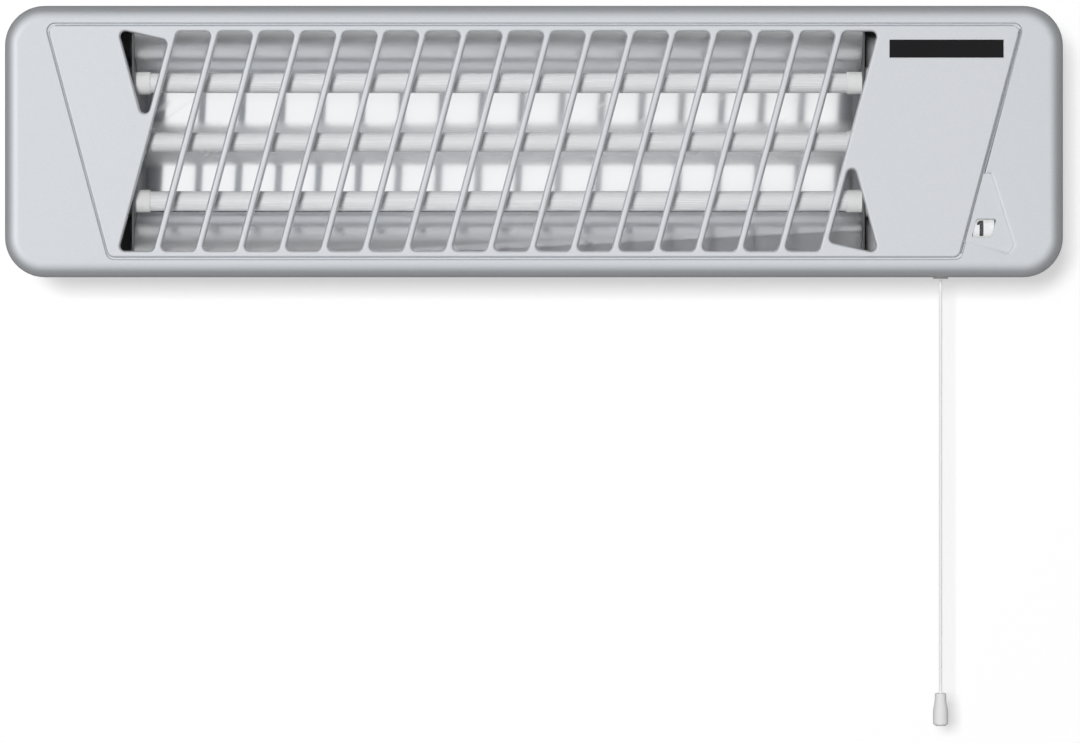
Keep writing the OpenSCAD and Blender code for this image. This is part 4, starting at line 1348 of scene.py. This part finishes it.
@dataclass
class Indicator:
    """The numbered drum behind its window."""

    # The axle's Y and Z
    axle: tuple[float, float] = (-0.0823, -0.0435)
    radius: float = 0.008
    lift: float = 0.00004
    digit_x: float = 0.2239
    digit_h: float = 0.0081
    digits: str = "1230"
    font_size: float = 0.0105
    font_bold: float = 0.0004
    cuts: int = 24
    ink: float = 0.00002
    # The 1's two strokes, as shares of its height
    stem: tuple[tuple[float, float], ...] = ((-0.11, -0.5), (0.13, -0.5), (0.13, 0.5), (-0.11, 0.5))
    flag: tuple[tuple[float, float], ...] = ((-0.27, 0.2), (-0.11, 0.23), (-0.11, 0.5), (-0.27, 0.34))
    parts: Parts = (("indicator_drum", WHITE_PLASTIC, Softening(0.0003, 2)),
                    ("indicator_window", CLEAR, Softening(0.0002, 2)),
                    ("drum_axle", ZINC, Softening(0.0003, 2)),
                    ("ratchet_wheel", NYLON, Softening(0.0001, 1)),
                    ("drum_bearing", ZINC, Softening(0.0003, 2)))

    def one(self) -> bmesh.types.BMesh:
        """Make a flat bold 1 with its flag, its stem's middle at the origin, X along its width and Y up.

        Returns:
            The digit.
        """
        mesh = bmesh.new()
        for outline in (self.stem, self.flag):
            mesh.faces.new([mesh.verts.new((x * self.digit_h, y * self.digit_h, 0.0)) for x, y in outline])
        return mesh

    def digit(self, text: str) -> bmesh.types.BMesh:
        """Make a flat bold digit, its middle at the origin, X along its width and Y up.

        Args:
            text: The digit.

        Returns:
            Its mesh.
        """
        if text == "1":
            return self.one()
        curve = bpy.data.curves.new("digit", "FONT")
        curve.body = text
        curve.size = self.font_size
        curve.offset = self.font_bold
        curve.resolution_u = 6
        maker = linked("digit", curve)
        data = bpy.data.meshes.new_from_object(maker.evaluated_get(bpy.context.evaluated_depsgraph_get()))
        mesh = bmesh.new()
        mesh.from_mesh(data)
        bpy.data.objects.remove(maker)
        bpy.data.meshes.remove(data)
        low = Vector([min(v.co[i] for v in mesh.verts) for i in range(3)])
        high = Vector([max(v.co[i] for v in mesh.verts) for i in range(3)])
        bmesh.ops.translate(mesh, verts=mesh.verts, vec=-(low + high) / 2)
        tall = self.digit_h / (high.y - low.y)
        bmesh.ops.scale(mesh, verts=mesh.verts, vec=(tall, tall, 1.0))
        return mesh

    def wrapped(self, text: str, angle: float) -> bmesh.types.BMesh:
        """Lay a digit round the drum.

        Args:
            text: The digit.
            angle: Its place round the drum, from the front upwards, in radians.

        Returns:
            The digit's mesh in the frame.
        """
        mesh = self.digit(text)
        for index in range(1, self.cuts):
            level = self.digit_h * (index / self.cuts - 0.5)
            bmesh.ops.bisect_plane(mesh, geom=whole(mesh), dist=0.000001, plane_co=(0, level, 0),
                                   plane_no=(0, 1, 0))
        reach = self.radius + self.lift
        for vert in mesh.verts:
            turn = angle + vert.co.y / self.radius
            vert.co = Vector((self.digit_x + vert.co.x, self.axle[0] - reach * math.cos(turn),
                              self.axle[1] + reach * math.sin(turn)))
        mesh.normal_update()
        outward = Vector((0, -math.cos(angle), math.sin(angle)))
        if sum((face.normal.dot(outward) * face.calc_area() for face in mesh.faces), 0.0) < 0:
            bmesh.ops.reverse_faces(mesh, faces=mesh.faces)
        thicken(mesh, self.ink)
        return mesh

    def build(self, shop: Workshop) -> None:
        """Dress the drum and its window, and print its digits.

        Args:
            shop: Where the nodes are.
        """
        shop.dress(self.parts)
        for index, text in enumerate(self.digits):
            mesh = self.wrapped(text, -index * math.pi / 2)
            shop.place(f"drum_digit_{text}", mesh, INK, Body.DRUM)


@dataclass
class Switch:
    """The pull switch."""

    parts: Parts = (("switch_body", NYLON, Softening(0.0006, 3)),
                    ("switch_side_plate", ZINC, Softening(0.0004, 2)),
                    ("switch_tie_screws", ZINC, Softening(0.0003, 2)),
                    ("switch_lever", NYLON, Softening(0.0003, 2)),
                    ("lever_pawl", ZINC, Softening(0.0002, 2)),
                    ("pawl_pin", ZINC, Softening(0.0002, 2)),
                    ("cord_bush", NYLON, Softening(0.0002, 2)))

    def build(self, shop: Workshop) -> None:
        """Dress the switch's nodes."""
        shop.dress(self.parts)


@dataclass
class WiringBay:
    """The terminal block, the cable clamp, the earth screw and the grommet."""

    parts: Parts = (("terminal_block", NYLON, Softening(0.0005, 3)),
                    ("terminal_screws", BRASS, Softening(0.0002, 2)),
                    ("cable_clamp", NYLON, Softening(0.0004, 2)),
                    ("clamp_screws", ZINC, Softening(0.0003, 2)),
                    ("earth_screw", BRASS, Softening(0.0003, 2)),
                    ("cable_grommet", RUBBER, Softening(0.0005, 3)))

    def build(self, shop: Workshop) -> None:
        """Dress the bay's nodes."""
        shop.dress(self.parts)


@dataclass
class Back:
    """The rear cover and what tilts the heater on its wall bracket."""

    screw_x: float = 0.251
    screw_z: float = 0.054
    cover_y: float = -0.04
    parts: Parts = (("rear_cover", REAR_PAINT, Softening(0.0003, 2)),
                    ("tilt_lugs", REAR_PAINT, Softening(0.0004, 2)),
                    ("lug_rivets", ZINC, Softening(0.0005, 3)),
                    ("wall_bracket", REAR_PAINT, Softening(0.0005, 3)),
                    ("pivot_bolts", ZINC, Softening(0.0006, 3)),
                    ("pivot_nuts", ZINC, Softening(0.0005, 2)),
                    ("friction_washers", FIBRE, Softening(0.0002, 2)))

    def build(self, shop: Workshop) -> None:
        """Dress the back's nodes and make the cover's screws.

        Args:
            shop: Where the nodes are.
        """
        shop.dress(self.parts)
        places = [(sx * self.screw_x, self.cover_y, sz * self.screw_z) for sx in (-1, 1) for sz in (-1, 1)]
        screws = PanScrews("cover_pan_screws", "cover_screws", places, axis=(0, 1, 0), head_r=0.003,
                           head_h=0.002, shank_r=0.00145, shank_len=0.014)
        screws.build(shop, Body.HEATER)


@dataclass(frozen=True)
class Lamp:
    """A square soft lamp that shiny surfaces don't show."""

    name: str
    place: tuple[float, float, float]
    size: float
    watts: float
    aim: tuple[float, float, float]

    def hang(self) -> None:
        """Hang the lamp and turn it to what it lights."""
        data = bpy.data.lights.new(self.name, "AREA")
        data.shape = "SQUARE"
        data.size = self.size
        data.energy = self.watts
        lamp = linked(self.name, data)
        lamp.visible_glossy = False
        lamp.location = self.place
        lamp.rotation_euler = (Vector(self.aim) - Vector(self.place)).to_track_quat("-Z", "Y").to_euler()


@dataclass
class Studio:
    """The wall, the world, the lamps and the camera."""

    wall_y: float = 0.0005
    wall_half: float = 3.0
    wall_tone: float = 0.5
    wall_in_mirror: float = 0.15
    wall_glow: float = 0.55
    glow_in_mirror: float = 0.1
    eye: tuple[float, float, float] = (0.0, -2.695, -0.067)
    focal: float = 173.5
    shift: tuple[float, float] = (0.0056, -0.0891)
    returned: float = 0.9
    ambient: float = 0.12
    side_light: float = 0.06
    soft_share: float = 0.5
    # The directions of the room's bright and soft sides, and the cosines over which they fade
    bright_side: tuple[float, float, float] = (-0.25, -0.966, 0.06)
    bright_span: tuple[float, float] = (0.15, 0.9)
    soft_side: tuple[float, float, float] = (-0.552, -0.832, 0.05)
    soft_span: tuple[float, float] = (0.9, 0.99)
    lamps: tuple[Lamp, ...] = (Lamp("key", (-0.62, -5.9, 0.38), 0.7, 268.0, (0, -0.05, 0)),
                               Lamp("fill", (-0.9, -1.6, 0.1), 1.2, 1.6, (0, -0.05, -0.05)))

    def camera(self) -> None:
        """Set the camera where the photograph was taken from."""
        data = bpy.data.cameras.new("camera")
        data.sensor_width = 36.0
        data.sensor_fit = "HORIZONTAL"
        data.lens = self.focal
        data.shift_x, data.shift_y = self.shift
        data.clip_start = 0.01
        camera = linked("camera", data)
        camera.location = self.eye
        camera.rotation_euler = (math.pi / 2, 0, 0)
        bpy.context.scene.camera = camera

    def wall(self) -> None:
        """Hang a white wall behind the heater that keeps its soft shadow and hides nothing from behind."""
        mesh = bmesh.new()
        turn = Matrix.Translation((0, self.wall_y, 0)) @ Matrix.Rotation(math.pi / 2, 4, "X")
        bmesh.ops.create_grid(mesh, x_segments=1, y_segments=1, size=self.wall_half, matrix=turn)
        data = bpy.data.meshes.new("wall")
        mesh.to_mesh(data)
        mesh.free()
        wall = linked("wall", data)
        material = bpy.data.materials.new("wall_white")
        graph = cleared(material)
        path = graph.add("ShaderNodeLightPath").outputs
        tones = [rgba((grey, grey, grey)) for grey in (self.wall_tone, self.wall_in_mirror)]
        tone = graph.blend(path["Is Glossy Ray"], *tones)
        plain = graph.add("ShaderNodeBsdfDiffuse", {"Color": tone})
        mirrored = graph.maths("MULTIPLY", path["Is Glossy Ray"], self.glow_in_mirror)
        seen = graph.maths("MAXIMUM", path["Is Camera Ray"], mirrored)
        glow = graph.add("ShaderNodeEmission", {"Color": (1.0, 1.0, 1.0, 1.0),
                                                "Strength": graph.maths("MULTIPLY", seen, self.wall_glow)})
        both = graph.add("ShaderNodeAddShader", {0: plain.outputs[0], 1: glow.outputs[0]})
        behind = graph.add("ShaderNodeNewGeometry").outputs["Backfacing"]
        clear = graph.add("ShaderNodeBsdfTransparent")
        front = graph.add("ShaderNodeMixShader", {0: behind, 1: both.outputs[0], 2: clear.outputs[0]})
        graph.add("ShaderNodeOutputMaterial", {"Surface": front.outputs[0]})
        data.materials.append(material)

    def world(self) -> None:
        """Give the world a plain dim ambient light, and white to what is seen in it.

        Mirrors don't show the key lamp, so rays that leave a mirror after a dull surface bring its share.
        """
        world = bpy.data.worlds.new("room")
        bpy.context.scene.world = world
        graph = cleared(world)
        path = graph.add("ShaderNodeLightPath").outputs
        shiny = graph.maths("MAXIMUM", path["Is Glossy Ray"], path["Is Transmission Ray"])
        seen = graph.maths("MAXIMUM", path["Is Camera Ray"], shiny)
        toward = graph.add("ShaderNodeTexCoord").outputs["Generated"]
        facing = graph.add("ShaderNodeVectorMath", {0: toward, 1: self.bright_side}, operation="DOT_PRODUCT")
        ahead = graph.span(facing.outputs["Value"], *self.bright_span, self.side_light, 1.0)
        leftward = graph.add("ShaderNodeVectorMath", {0: toward, 1: self.soft_side}, operation="DOT_PRODUCT")
        soft = graph.span(leftward.outputs["Value"], *self.soft_span, 0.0, self.soft_share)
        lit = graph.maths("MINIMUM", path["Diffuse Depth"], 1.0)
        gain = graph.maths("MULTIPLY_ADD", lit, self.returned, 1.0)
        bright = graph.maths("MULTIPLY", graph.maths("ADD", ahead, soft), gain)
        shown = graph.maths("ADD", path["Is Camera Ray"], graph.maths("MULTIPLY", bright, shiny))
        dim = graph.maths("MULTIPLY", graph.maths("SUBTRACT", 1.0, seen), self.ambient)
        strength = graph.maths("ADD", shown, dim)
        back = graph.add("ShaderNodeBackground", {"Color": (1.0, 1.0, 1.0, 1.0), "Strength": strength})
        graph.add("ShaderNodeOutputWorld", {"Surface": back.outputs[0]})

    def build(self) -> None:
        """Set up the wall, the world and the lamps."""
        self.wall()
        self.world()
        for lamp in self.lamps:
            lamp.hang()
        bpy.context.scene.view_settings.view_transform = "Standard"


def main() -> None:
    """Build the scene in its order: camera, cords, then the heater from its front to its back."""
    logging.basicConfig(level=logging.INFO, format="%(name)s: %(message)s")
    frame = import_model()
    shop = Workshop(frame)
    studio = Studio()
    studio.camera()
    knob = Knob().build(shop)
    Cord().build(shop, knob)
    FrontShell().build(shop)
    Heating().build(shop)
    Indicator().build(shop)
    Switch().build(shop)
    WiringBay().build(shop)
    Back().build(shop)
    studio.build()


if __name__ == "__main__":
    main()
